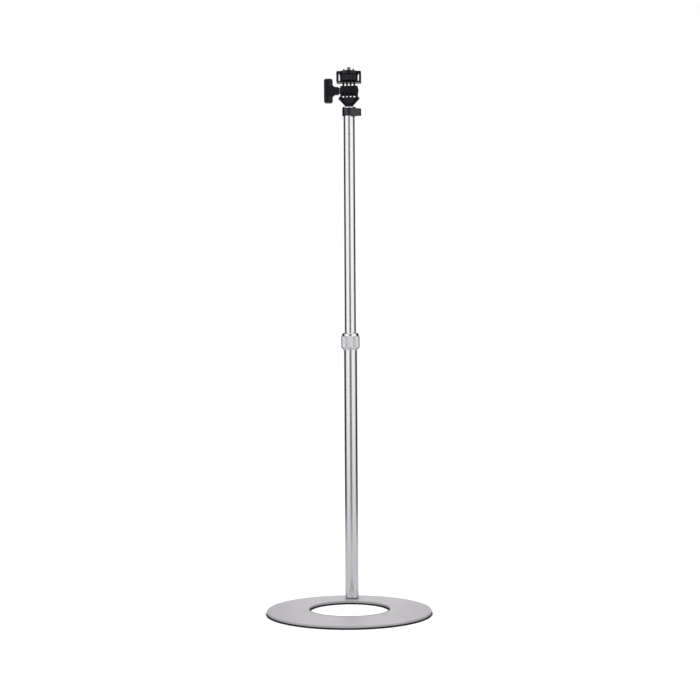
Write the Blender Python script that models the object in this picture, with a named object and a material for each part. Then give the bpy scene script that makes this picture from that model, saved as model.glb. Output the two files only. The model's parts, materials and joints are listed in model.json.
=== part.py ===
"""Desk light stand: ring base, two-section twist-lock mast, cable clip and tilting head.

Units are metres and +Z is up. The origin is on the floor at the centre of the base ring.
The mast stands behind it, towards +Y, and the head tilts about an axis along X.
"""
import math

import bmesh
import bpy
from mathutils import Matrix, Vector

# Clearances
SEAT = 0.0003            # gap left between two pieces that touch
SLIP = 0.0003            # radial gap of a plug or insert in its bore
MERGE = 0.000001

# Facets
ROUND_STEPS = 36
SLEEVE_STEPS = 28
SMALL_STEPS = 24
RING_STEPS = 80

# Base ring
BASE_RADIUS = 0.132
HOLE_RADIUS = 0.065
HOLE_SHIFT = 0.013       # the hole sits this far towards the mast
PLATE_THICK = 0.0035
PLATE_EDGE = 0.0007
PAD_THICK = 0.0018
PAD_INSET = 0.0012
PAD_ACCESS_RADIUS = 0.0085
MAST_INSET = 0.024       # from the ring's outer edge in to the mast's axis

# Foot of the mast
GASKET_THICK = 0.0008
GASKET_BORE = 0.006
FOOT_SCREW_RADIUS = 0.003
FOOT_SCREW_LENGTH = 0.020
FOOT_HEAD_RADIUS = 0.0059
FOOT_HEAD_HEIGHT = 0.0028
FOOT_HEX_ACROSS = 0.004
FOOT_HEX_DEPTH = 0.0018
FOOT_PLUG_HEIGHT = 0.022

# Tubes
LOWER_RADIUS = 0.011
LOWER_WALL = 0.0009
LOWER_LENGTH = 0.4305
UPPER_RADIUS = 0.0095
UPPER_WALL = 0.0009
UPPER_LENGTH = 0.4414
MAST_OUT = 0.3903        # how far the upper tube stands out of the lower one
TUBE_LIP = 0.0004

# Twist lock
FERRULE_GRIP = 0.014     # length of the ferrule down the lower tube
FERRULE_RADIUS = 0.0126
FERRULE_LIP = 0.0015
FERRULE_LIP_BORE = 0.00975
FERRULE_CUP = 0.0045
CUP_FLARE = 0.0008
COLLET_HEIGHT = 0.0084
COLLET_TAPER = 0.0010
COLLET_SLIT = 0.0014
COLLET_SLOTS = 6
NUT_RADIUS = 0.0154
NUT_STEP = 0.0011        # how far the knurled band stands over the plain ends
NUT_HEIGHT = 0.0292
NUT_FOOT = 0.0034        # height of the cone below the band
NUT_SHOULDER = 0.0058    # height of the rounded shoulder above the band
NUT_OVERHANG = 0.0014    # how far the nut reaches below the ferrule
THREAD_GAP = 0.0003

# Mast fittings
BUSH_FLANGE = 0.010
BUSH_SPIGOT = 0.014
BUSH_RADIUS = 0.0099
BUSH_BORE = 0.006
CAP_SPIGOT = 0.018
CAP_HEIGHT = 0.0026
CAP_TOP_RADIUS = 0.0079
STUD_RADIUS = 0.0031
STUD_BELOW = 0.013
STUD_ABOVE = 0.0085

# Cable clip
CLIP_HEIGHT = 0.0128     # of the ring's front, which ends level with the tube
CLIP_EAR_RISE = 0.0023   # the ring's sides and rear stand this much above its front
CLIP_DIP_DEG = 100.0     # width of the lower front
CLIP_WALL = 0.0017
CLIP_TOP_EDGE = 0.0005
CLIP_FOOT_EDGE = 0.0013
CLIP_FOOT_RISE = 0.0018
CLIP_MOUTH_DEG = 65.0
CLIP_MOUTH_AT_DEG = 127.0
HOOK_LEAVES_DEG = 18.0   # where the arm leaves the ring, round from the front to the right
HOOK_REACH = 0.0205      # from the mast's axis to the hook's outer side
HOOK_RADIUS = 0.0075     # outer radius of the hook's bend
HOOK_WALL = 0.0022
HOOK_END_DEG = 165.0     # where the bend ends, round from the front
HOOK_TOP_TRIM = 0.0003   # the hook's top lies this much below the ring's front
HOOK_FOOT_DROP = 0.0012  # the hook's arm reaches this much below the ring
HOOK_FOOT_SLOPE = 0.22   # rise of the hook's underside towards the rear

# Head base
CONE_FOOT_RADIUS = 0.0066
CONE_NECK = 0.0012       # height of the straight neck at the cone's foot
CONE_RADIUS = 0.0176
CONE_HEIGHT = 0.0130
RIM_HEIGHT = 0.0019
RIM_EDGE = 0.0012
HINGE_RISE = 0.0269      # from the cone's foot up to the hinge axis
FINGER_PITCH = 0.00613
FINGER_THICK = 0.0028
FINGER_RADIUS = 0.0086
FINGER_GAP = 0.000265
LEFT_CHEEK = 0.0143      # outer face of the left cheek, from the head's axis
RIGHT_CHEEK = 0.0151
BOSS_RADIUS = 0.0064
BOSS_RISE = 0.0003
SLOT_DEPTH = 0.0028      # how deep the slots cut into the cone's rim
SLOT_FLOOR_EDGE = 0.0006
INSERT_RADIUS = 0.0046
INSERT_HEIGHT = 0.0095

# Hinge bolt and tee knob
BOLT_RADIUS = 0.0025
BOLT_SLIP = 0.0003
BOLT_HEAD_RADIUS = 0.0050
BOLT_HEAD_HEIGHT = 0.0018
BOLT_DOME = 0.0009
BOLT_NECK_HALF = 0.0028
BOLT_NECK_LENGTH = 0.0018
BOLT_LENGTH = 0.0390
WASHER_RADIUS = 0.0058
WASHER_THICK = 0.0011
KNOB_INSERT_RADIUS = 0.0042
KNOB_INSERT_LENGTH = 0.0105
KNOB_FLANGE_RADIUS = 0.0052
KNOB_FLANGE_THICK = 0.0010
STEM_RADIUS = 0.0070
STEM_LENGTH = 0.0100
STEM_FILLET = 0.0056
STEM_NOSE = 0.0003
TEE_DEPTH = 0.0145       # the bar's width seen from the front
TEE_HALF_SPAN = 0.0202
TEE_CORNER = 0.0034
TEE_HALF_THICK = 0.0062
TEE_EDGE = 0.0018
SCOOP_RADIUS = 0.018
SCOOP_DEPTH = 0.0009
SCOOP_SPAN = 0.0130

# Cradle
CRADLE_RISE = 0.0131     # from the hinge axis up to the cradle's underside
CRADLE_HALF_WIDTH = 0.02075
CRADLE_HALF_DEPTH = 0.0080
CRADLE_FLOOR = 0.0024
CRADLE_SIDE = 0.0035
CRADLE_ROOF = 0.0027
CRADLE_CORNER = 0.0020
WINDOW_CORNER = 0.0010
PLATFORM_RADIUS = 0.0160
PLATFORM_THICK = 0.0058
WHEEL_GAP = 0.0005
WHEEL_RADIUS = 0.0151
WHEEL_HEIGHT = 0.0100
WHEEL_EDGE = 0.0011
WHEEL_FLUTES = 30
FLUTE_RADIUS = 0.0007
FLUTE_DEPTH = 0.0003
SCREW_RADIUS = 0.0031
SCREW_SLIP = 0.0004
SCREW_RISE = 0.0077      # above the platform
SCREW_TIP = 0.0009
PAD_RING_RADIUS = 0.0113
PAD_RING_BORE = 0.0045
PAD_RING_THICK = 0.0007
PIP_REACH_X = 0.0078
PIP_REACH_Y = 0.0110
PIP_FOOT = 0.0017
PIP_TIP = 0.0007
PIP_HEIGHT = 0.0030

# Places and heights that follow from the sizes above
MAST_SETBACK = BASE_RADIUS - MAST_INSET
PLATE_FOOT = PAD_THICK + SEAT
PLATE_TOP = PLATE_FOOT + PLATE_THICK
LOWER_FOOT = PLATE_TOP + GASKET_THICK + 2 * SEAT
LOWER_TOP = LOWER_FOOT + LOWER_LENGTH
FERRULE_FOOT = LOWER_TOP - FERRULE_GRIP
CUP_FOOT = LOWER_TOP + SEAT + FERRULE_LIP
FERRULE_TOP = CUP_FOOT + FERRULE_CUP
COLLET_FOOT = CUP_FOOT + SEAT
COLLET_TOP = COLLET_FOOT + COLLET_HEIGHT
NUT_BOTTOM = FERRULE_FOOT - NUT_OVERHANG
NUT_TOP = NUT_BOTTOM + NUT_HEIGHT
UPPER_TOP = LOWER_TOP + MAST_OUT
UPPER_FOOT = UPPER_TOP - UPPER_LENGTH
CAP_FOOT = UPPER_TOP + SEAT
CAP_TOP = CAP_FOOT + CAP_HEIGHT
HEAD_FOOT = CAP_TOP + SEAT
HINGE_HEIGHT = HEAD_FOOT + HINGE_RISE

# Radii and widths that follow
LOWER_BORE = LOWER_RADIUS - LOWER_WALL
UPPER_BORE = UPPER_RADIUS - UPPER_WALL
MAST_SLEEVE = UPPER_RADIUS + SLIP
FINGER_SLOT = FINGER_THICK + 2 * FINGER_GAP
CRADLE_FINGERS = [FINGER_PITCH * step for step in (-1.5, -0.5, 0.5, 1.5)]
CRADLE_GAPS = [FINGER_PITCH * step for step in (-1.0, 0.0, 1.0)]
COMB_HALF = CRADLE_FINGERS[-1] + FINGER_THICK / 2
CRADLE_GAP_WIDTH = FINGER_SLOT
RIM_TOP = CONE_HEIGHT + RIM_HEIGHT + RIM_EDGE
WASHER_FACE = LEFT_CHEEK + SEAT + WASHER_THICK
FLANGE_FACE = WASHER_FACE + SEAT + KNOB_FLANGE_THICK
STEM_FACE = FLANGE_FACE + SEAT
TEE_FACE = STEM_FACE + STEM_LENGTH
BOLT_SEAT = RIGHT_CHEEK + BOSS_RISE - BOLT_HEAD_HEIGHT
WINDOW_FOOT = CRADLE_RISE + CRADLE_FLOOR
WHEEL_FOOT = WINDOW_FOOT + WHEEL_GAP
WHEEL_TOP = WHEEL_FOOT + WHEEL_HEIGHT
PLATFORM_FOOT = WHEEL_TOP + WHEEL_GAP
PLATFORM_TOP = PLATFORM_FOOT + PLATFORM_THICK

# Finishes: colour, roughness, metallic
SILVER_PAINT = ((0.53, 0.50, 0.53), 0.42, 0.35)
BLACK_FOAM = ((0.018, 0.018, 0.020), 0.85, 0.0)
BRIGHT_TUBE = ((0.80, 0.80, 0.84), 0.18, 1.0)
TURNED_ALLOY = ((0.70, 0.69, 0.71), 0.30, 1.0)
BLACK_PLASTIC = ((0.022, 0.021, 0.025), 0.45, 0.0)
CLEAR_NYLON = ((0.62, 0.61, 0.56), 0.50, 0.0)
BRASS = ((0.60, 0.44, 0.20), 0.35, 1.0)
STEEL = ((0.42, 0.39, 0.37), 0.35, 1.0)
BLACK_STEEL = ((0.05, 0.05, 0.055), 0.38, 0.8)
BLACK_RUBBER = ((0.025, 0.025, 0.025), 0.80, 0.0)


def make_material(name, finish):
    color, roughness, metallic = finish
    material = bpy.data.materials.new(name)
    material.use_nodes = True
    shader = material.node_tree.nodes["Principled BSDF"]
    shader.inputs["Base Color"].default_value = (*color, 1.0)
    shader.inputs["Roughness"].default_value = roughness
    shader.inputs["Metallic"].default_value = metallic
    return material


def make_axis(name, place, parent=None):
    axis = bpy.data.objects.new(name, None)
    axis.location = place
    axis.parent = parent
    bpy.context.scene.collection.objects.link(axis)
    return axis


def mesh_from(bm, name):
    bmesh.ops.recalc_face_normals(bm, faces=bm.faces)
    mesh = bpy.data.meshes.new(name)
    bm.to_mesh(mesh)
    bm.free()
    return mesh


def turned(name, outline, steps=ROUND_STEPS, along="Z"):
    """Turn a closed (radius, height) outline into a solid about Z, or lay it along X."""
    bm = bmesh.new()
    corners = [bm.verts.new((radius, 0.0, height)) for radius, height in outline]
    for first, second in zip(corners, corners[1:] + corners[:1]):
        if first.co.x > 0.0 or second.co.x > 0.0:
            bm.edges.new((first, second))
    bmesh.ops.spin(bm, geom=corners + bm.edges[:], cent=(0, 0, 0), axis=(0, 0, 1),
                   angle=math.tau, steps=steps, use_merge=True)
    bmesh.ops.remove_doubles(bm, verts=bm.verts, dist=MERGE)
    if along == "X":
        bmesh.ops.rotate(bm, verts=bm.verts, matrix=Matrix.Rotation(math.radians(90), 3, "Y"))
    return mesh_from(bm, name)


def prism(name, outline, low, high, along="Z"):
    """Extrude a closed outline. It is drawn in (x, y), (x, z) or (y, z), as along needs."""
    places = {"X": lambda u, v, w: (w, u, v),
              "Y": lambda u, v, w: (u, w, v),
              "Z": lambda u, v, w: (u, v, w)}
    place = places[along]
    bm = bmesh.new()
    face = bm.faces.new([bm.verts.new(place(u, v, low)) for u, v in outline])
    grown = bmesh.ops.extrude_face_region(bm, geom=[face])
    moved = [item for item in grown["geom"] if isinstance(item, bmesh.types.BMVert)]
    bmesh.ops.translate(bm, vec=Vector(place(0.0, 0.0, high - low)), verts=moved)
    return mesh_from(bm, name)


def rounded(corners, steps=5):
    """Outline through (u, v, radius) corners, each one rounded by an arc."""
    points = []
    count = len(corners)
    for index, (u, v, radius) in enumerate(corners):
        here = Vector((u, v))
        if radius <= 0.0:
            points.append((u, v))
            continue
        back = (Vector(corners[index - 1][:2]) - here).normalized()
        ahead = (Vector(corners[(index + 1) % count][:2]) - here).normalized()
        half = back.angle(ahead) / 2
        centre = here + (back + ahead).normalized() * (radius / math.sin(half))
        start = here + back * (radius / math.tan(half)) - centre
        finish = here + ahead * (radius / math.tan(half)) - centre
        sweep = start.angle_signed(finish)
        for step in range(steps + 1):
            turn = Matrix.Rotation(-sweep * step / steps, 2)
            points.append(tuple(centre + turn @ start))
    return points


def box_outline(low_u, high_u, low_v, high_v, radius=0.0):
    return rounded([(low_u, low_v, radius), (high_u, low_v, radius),
                    (high_u, high_v, radius), (low_u, high_v, radius)])


def tab_outline(radius, root, steps=18):
    """Round-nosed tab about the hinge axis, in (y, z), with its root at height root."""
    side = 1.0 if root > 0.0 else -1.0
    nose = [(radius * math.cos(math.pi * step / steps),
             -side * radius * math.sin(math.pi * step / steps)) for step in range(steps + 1)]
    return nose + [(-radius, root), (radius, root)]


def add_part(name, mesh, axis, finish, sharp_deg=35.0):
    mesh.name = name
    mesh.materials.append(make_material(name + "_finish", finish))
    mesh.shade_smooth()
    mesh.set_sharp_from_angle(angle=math.radians(sharp_deg))
    part = bpy.data.objects.new(name, mesh)
    part.parent = axis
    bpy.context.scene.collection.objects.link(part)
    return part


def add_tool(mesh, axis):
    tool = bpy.data.objects.new(mesh.name, mesh)
    tool.parent = axis
    tool.hide_render = True
    tool.display_type = "WIRE"
    bpy.context.scene.collection.objects.link(tool)
    return tool


def combine(part, mesh, operation):
    """Cut, join or intersect the part with the mesh, and give back the mesh's object."""
    step = part.modifiers.new(mesh.name, "BOOLEAN")
    step.operation = operation
    step.solver = "EXACT"
    step.object = add_tool(mesh, part.parent)
    return step.object


def cut(part, mesh):
    return combine(part, mesh, "DIFFERENCE")


def join(part, mesh):
    return combine(part, mesh, "UNION")


def ease_edges(part, width, segments=2, angle_deg=40.0):
    step = part.modifiers.new("eased_edges", "BEVEL")
    step.width = width
    step.segments = segments
    step.limit_method = "ANGLE"
    step.angle_limit = math.radians(angle_deg)


def shifted(mesh, offset):
    mesh.transform(Matrix.Translation(offset))
    return mesh


def ring_mesh(name, outer_radius, hole_radius, low, high):
    """Flat ring with an off-centre hole, from two bridged circles."""
    bm = bmesh.new()
    loops = []
    for height in (low, high):
        for radius, shift in ((outer_radius, 0.0), (hole_radius, HOLE_SHIFT)):
            place = Matrix.Translation((0.0, shift, height))
            circle = bmesh.ops.create_circle(bm, cap_ends=False, segments=RING_STEPS,
                                             radius=radius, matrix=place)
            edges = {edge for vert in circle["verts"] for edge in vert.link_edges}
            loops.append(list(edges))
    outer_low, hole_low, outer_high, hole_high = loops
    for first, second in ((outer_low, hole_low), (outer_high, hole_high),
                          (outer_low, outer_high), (hole_low, hole_high)):
        bmesh.ops.bridge_loops(bm, edges=first + second)
    return mesh_from(bm, name)


def make_base(floor, mast_axis):
    plate = add_part("base_plate", ring_mesh("base_plate", BASE_RADIUS, HOLE_RADIUS,
                                             PLATE_FOOT, PLATE_TOP), floor, SILVER_PAINT)
    ease_edges(plate, PLATE_EDGE, 1)
    sink_radius = FOOT_HEAD_RADIUS + 2 * SLIP
    shank_radius = FOOT_SCREW_RADIUS + SLIP
    sink_top = PLATE_FOOT + sink_radius - shank_radius
    countersink = turned("foot_countersink", [
        (0.0, PLATE_FOOT - SEAT), (sink_radius, PLATE_FOOT - SEAT), (sink_radius, PLATE_FOOT),
        (shank_radius, sink_top), (shank_radius, PLATE_TOP + SEAT), (0.0, PLATE_TOP + SEAT)],
        SMALL_STEPS)
    cut(plate, shifted(countersink, mast_axis.location))

    pad = add_part("base_pad", ring_mesh("base_pad", BASE_RADIUS - PAD_INSET,
                                         HOLE_RADIUS + PAD_INSET, 0.0, PAD_THICK),
                   floor, BLACK_FOAM)
    access = turned("pad_access", [(0.0, -SEAT), (PAD_ACCESS_RADIUS, -SEAT),
                                   (PAD_ACCESS_RADIUS, PAD_THICK + SEAT),
                                   (0.0, PAD_THICK + SEAT)], SMALL_STEPS)
    cut(pad, shifted(access, mast_axis.location))


def make_foot(mast_axis):
    gasket_foot = PLATE_TOP + SEAT
    add_part("foot_gasket", turned("foot_gasket", [
        (GASKET_BORE, gasket_foot), (LOWER_RADIUS, gasket_foot),
        (LOWER_RADIUS, gasket_foot + GASKET_THICK), (GASKET_BORE, gasket_foot + GASKET_THICK)]),
        mast_axis, BLACK_RUBBER)

    head_foot = PLATE_FOOT + SEAT / 2
    head_top = head_foot + FOOT_HEAD_HEIGHT
    tip = head_foot + FOOT_SCREW_LENGTH
    screw = add_part("foot_screw", turned("foot_screw", [
        (0.0, head_foot), (FOOT_HEAD_RADIUS, head_foot), (FOOT_SCREW_RADIUS, head_top),
        (FOOT_SCREW_RADIUS, tip - SCREW_TIP), (FOOT_SCREW_RADIUS - SCREW_TIP, tip), (0.0, tip)],
        SMALL_STEPS), mast_axis, BLACK_STEEL)
    hex_radius = FOOT_HEX_ACROSS / math.sqrt(3)
    hexagon = [(hex_radius * math.cos(math.tau * side / 6),
                hex_radius * math.sin(math.tau * side / 6)) for side in range(6)]
    cut(screw, prism("foot_hex", hexagon, head_foot - SEAT, head_foot + FOOT_HEX_DEPTH))

    plug_radius = LOWER_BORE - SLIP
    bore = FOOT_SCREW_RADIUS + SLIP
    plug_top = LOWER_FOOT + FOOT_PLUG_HEIGHT
    add_part("foot_plug", turned("foot_plug", [
        (bore, LOWER_FOOT), (plug_radius, LOWER_FOOT), (plug_radius, plug_top - SCREW_TIP),
        (plug_radius - SCREW_TIP, plug_top), (bore, plug_top)], SMALL_STEPS),
        mast_axis, TURNED_ALLOY)


def tube_outline(radius, bore, low, high):
    return [(bore, low), (radius - TUBE_LIP, low), (radius, low + TUBE_LIP),
            (radius, high - TUBE_LIP), (radius - TUBE_LIP, high), (bore, high)]


def make_lower_mast(mast_axis):
    add_part("lower_tube", turned("lower_tube", tube_outline(
        LOWER_RADIUS, LOWER_BORE, LOWER_FOOT, LOWER_TOP)), mast_axis, BRIGHT_TUBE)

    sleeve_bore = LOWER_RADIUS + SLIP
    cup_foot_radius = FERRULE_LIP_BORE + CUP_FLARE
    cup_mouth_radius = cup_foot_radius + CUP_FLARE
    add_part("lock_ferrule", turned("lock_ferrule", [
        (sleeve_bore, FERRULE_FOOT), (FERRULE_RADIUS, FERRULE_FOOT),
        (FERRULE_RADIUS, FERRULE_TOP), (cup_mouth_radius, FERRULE_TOP),
        (cup_foot_radius, CUP_FOOT), (FERRULE_LIP_BORE, CUP_FOOT),
        (FERRULE_LIP_BORE, LOWER_TOP + SEAT), (sleeve_bore, LOWER_TOP + SEAT)], SLEEVE_STEPS),
        mast_axis, TURNED_ALLOY)

    belly = cup_mouth_radius - SLIP
    belly_foot = FERRULE_TOP
    belly_top = COLLET_TOP - COLLET_HEIGHT / 4
    collet = add_part("lock_collet", turned("lock_collet", [
        (MAST_SLEEVE, COLLET_FOOT), (cup_foot_radius - SLIP, COLLET_FOOT), (belly, belly_foot),
        (belly, belly_top), (belly - COLLET_TAPER, COLLET_TOP), (MAST_SLEEVE, COLLET_TOP)]),
        mast_axis, CLEAR_NYLON)
    half_slit = COLLET_SLIT / 2
    reach = FERRULE_RADIUS
    slot_floor = COLLET_FOOT + COLLET_HEIGHT / 3
    for number in range(COLLET_SLOTS):
        low = COLLET_FOOT - SEAT if number == 0 else slot_floor
        slot = prism(f"collet_slot_{number}", box_outline(0.0, reach, -half_slit, half_slit),
                     low, COLLET_TOP + SEAT)
        slot.transform(Matrix.Rotation(math.tau * (number + 0.5) / COLLET_SLOTS, 4, "Z"))
        cut(collet, slot)


def nut_shoulder(steps=5):
    """Quarter-round shoulder from the top face down to the plain end above the band."""
    inner = MAST_SLEEVE + TUBE_LIP
    outer = NUT_RADIUS - NUT_STEP
    low = NUT_TOP - NUT_SHOULDER * 0.6
    return [(inner + (outer - inner) * math.sin(math.pi / 2 * step / steps),
             low + (NUT_TOP - low) * math.cos(math.pi / 2 * step / steps))
            for step in range(steps + 1)]


def make_lock_nut(mast_axis):
    band_foot = NUT_BOTTOM + NUT_FOOT
    band_top = NUT_TOP - NUT_SHOULDER
    plain = NUT_RADIUS - NUT_STEP
    thread_bore = FERRULE_RADIUS + THREAD_GAP
    roof = COLLET_TOP + SEAT
    roof_radius = FERRULE_LIP_BORE + 2 * CUP_FLARE - COLLET_TAPER
    outline = [(LOWER_RADIUS + SLIP, NUT_BOTTOM), (plain, band_foot - NUT_STEP / 2),
               (plain, band_foot), (NUT_RADIUS, band_foot + NUT_STEP / 3),
               (NUT_RADIUS, band_top - NUT_STEP / 3), (plain, band_top)]
    outline += reversed(nut_shoulder())
    outline += [(MAST_SLEEVE, NUT_TOP), (MAST_SLEEVE, roof), (roof_radius, roof),
                (thread_bore, FERRULE_TOP + SEAT), (thread_bore, FERRULE_FOOT - SEAT),
                (LOWER_RADIUS + SLIP, FERRULE_FOOT - SEAT)]
    add_part("lock_nut", turned("lock_nut", outline), mast_axis, TURNED_ALLOY)


def make_upper_mast(mast_axis):
    add_part("upper_tube", turned("upper_tube", tube_outline(
        UPPER_RADIUS, UPPER_BORE, UPPER_FOOT, UPPER_TOP)), mast_axis, BRIGHT_TUBE)

    spigot = UPPER_BORE - SLIP
    seat = UPPER_FOOT - SEAT
    foot = seat - BUSH_FLANGE
    ribs = [(BUSH_RADIUS - TUBE_LIP, foot), (BUSH_RADIUS, foot + TUBE_LIP)]
    groove = foot + BUSH_FLANGE * 0.4
    ribs += [(BUSH_RADIUS, groove), (UPPER_RADIUS, groove + TUBE_LIP),
             (UPPER_RADIUS, groove + 2 * TUBE_LIP), (BUSH_RADIUS, groove + 3 * TUBE_LIP)]
    add_part("guide_bush", turned("guide_bush", [(BUSH_BORE, foot)] + ribs + [
        (BUSH_RADIUS, seat - TUBE_LIP), (BUSH_RADIUS - TUBE_LIP, seat), (spigot, seat),
        (spigot, seat + BUSH_SPIGOT), (BUSH_BORE, seat + BUSH_SPIGOT)], SLEEVE_STEPS),
        mast_axis, BLACK_PLASTIC)

    bore = STUD_RADIUS + SLIP
    dome = [(CAP_TOP_RADIUS + (UPPER_RADIUS - CAP_TOP_RADIUS) * math.cos(math.radians(turn)),
             CAP_FOOT + CAP_HEIGHT * math.sin(math.radians(turn))) for turn in (0, 30, 60, 90)]
    add_part("tube_cap", turned("tube_cap", [
        (bore, UPPER_TOP - CAP_SPIGOT), (spigot, UPPER_TOP - CAP_SPIGOT),
        (spigot, CAP_FOOT)] + dome + [(bore, CAP_TOP)]), mast_axis, TURNED_ALLOY)

    low = CAP_TOP - STUD_BELOW
    high = CAP_TOP + STUD_ABOVE
    add_part("head_stud", turned("head_stud", [
        (0.0, low), (STUD_RADIUS - SCREW_TIP, low), (STUD_RADIUS, low + SCREW_TIP),
        (STUD_RADIUS, high - SCREW_TIP), (STUD_RADIUS - SCREW_TIP, high), (0.0, high)],
        SMALL_STEPS), mast_axis, STEEL)


def wedge_outline(middle_deg, width_deg, reach):
    """Wedge from the Z axis outwards, about the direction middle_deg round from +X."""
    middle = math.radians(middle_deg)
    half = math.radians(width_deg / 2)
    return [(0.0, 0.0)] + [(reach * math.cos(middle + turn), reach * math.sin(middle + turn))
                           for turn in (-half, 0.0, half)]


def make_cable_clip(mast_axis):
    """Snap-on ring, lower at its front, with a mouth at the rear and a cable hook at the right."""
    front_top = UPPER_TOP
    foot = front_top - CLIP_HEIGHT
    top = front_top + CLIP_EAR_RISE
    outer = MAST_SLEEVE + CLIP_WALL
    clip = add_part("cable_clip", turned("cable_clip", [
        (MAST_SLEEVE, foot), (outer - CLIP_FOOT_EDGE, foot), (outer, foot + CLIP_FOOT_RISE),
        (outer, top - CLIP_TOP_EDGE), (outer - CLIP_TOP_EDGE, top), (MAST_SLEEVE, top)]),
        mast_axis, BLACK_PLASTIC)

    cut(clip, prism("clip_mouth", wedge_outline(CLIP_MOUTH_AT_DEG, CLIP_MOUTH_DEG, 2 * outer),
                    foot - SEAT, top + SEAT))
    cut(clip, prism("clip_dip", wedge_outline(-90.0, CLIP_DIP_DEG, 2 * outer),
                    front_top, top + SEAT))

    leaves = math.radians(HOOK_LEAVES_DEG)
    bend_x = HOOK_REACH - HOOK_RADIUS
    facing = Vector((math.sin(leaves), -math.cos(leaves)))
    bend_y = (facing.x * bend_x - (outer - HOOK_RADIUS)) / -facing.y
    bend = Vector((bend_x, bend_y))
    arc = [leaves + (math.radians(HOOK_END_DEG) - leaves) * step / 8 for step in range(9)]
    outside = [bend + HOOK_RADIUS * Vector((math.sin(turn), -math.cos(turn))) for turn in arc]
    inside = [bend + (HOOK_RADIUS - HOOK_WALL) * Vector((math.sin(turn), -math.cos(turn)))
              for turn in reversed(arc)]
    mid_wall = facing * (MAST_SLEEVE + CLIP_WALL / 2)
    side = Vector((-facing.y, facing.x))
    root = math.sqrt(outer ** 2 - (outer - HOOK_WALL) ** 2) * 0.9
    hook = [mid_wall, facing * outer + side * CLIP_WALL] + outside + inside
    hook += [facing * (outer - HOOK_WALL) + side * root]
    hook_foot = foot - HOOK_FOOT_DROP
    join(clip, prism("clip_hook", hook, hook_foot, front_top - HOOK_TOP_TRIM))
    front = HOOK_WALL - outer
    rear = 2 * outer
    underside = [(front, hook_foot), (rear, hook_foot + HOOK_FOOT_SLOPE * (rear - front)),
                 (rear, hook_foot - SEAT), (front, hook_foot - SEAT)]
    cut(clip, prism("hook_underside", underside, outer + SEAT, 2 * HOOK_REACH, "X"))


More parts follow.
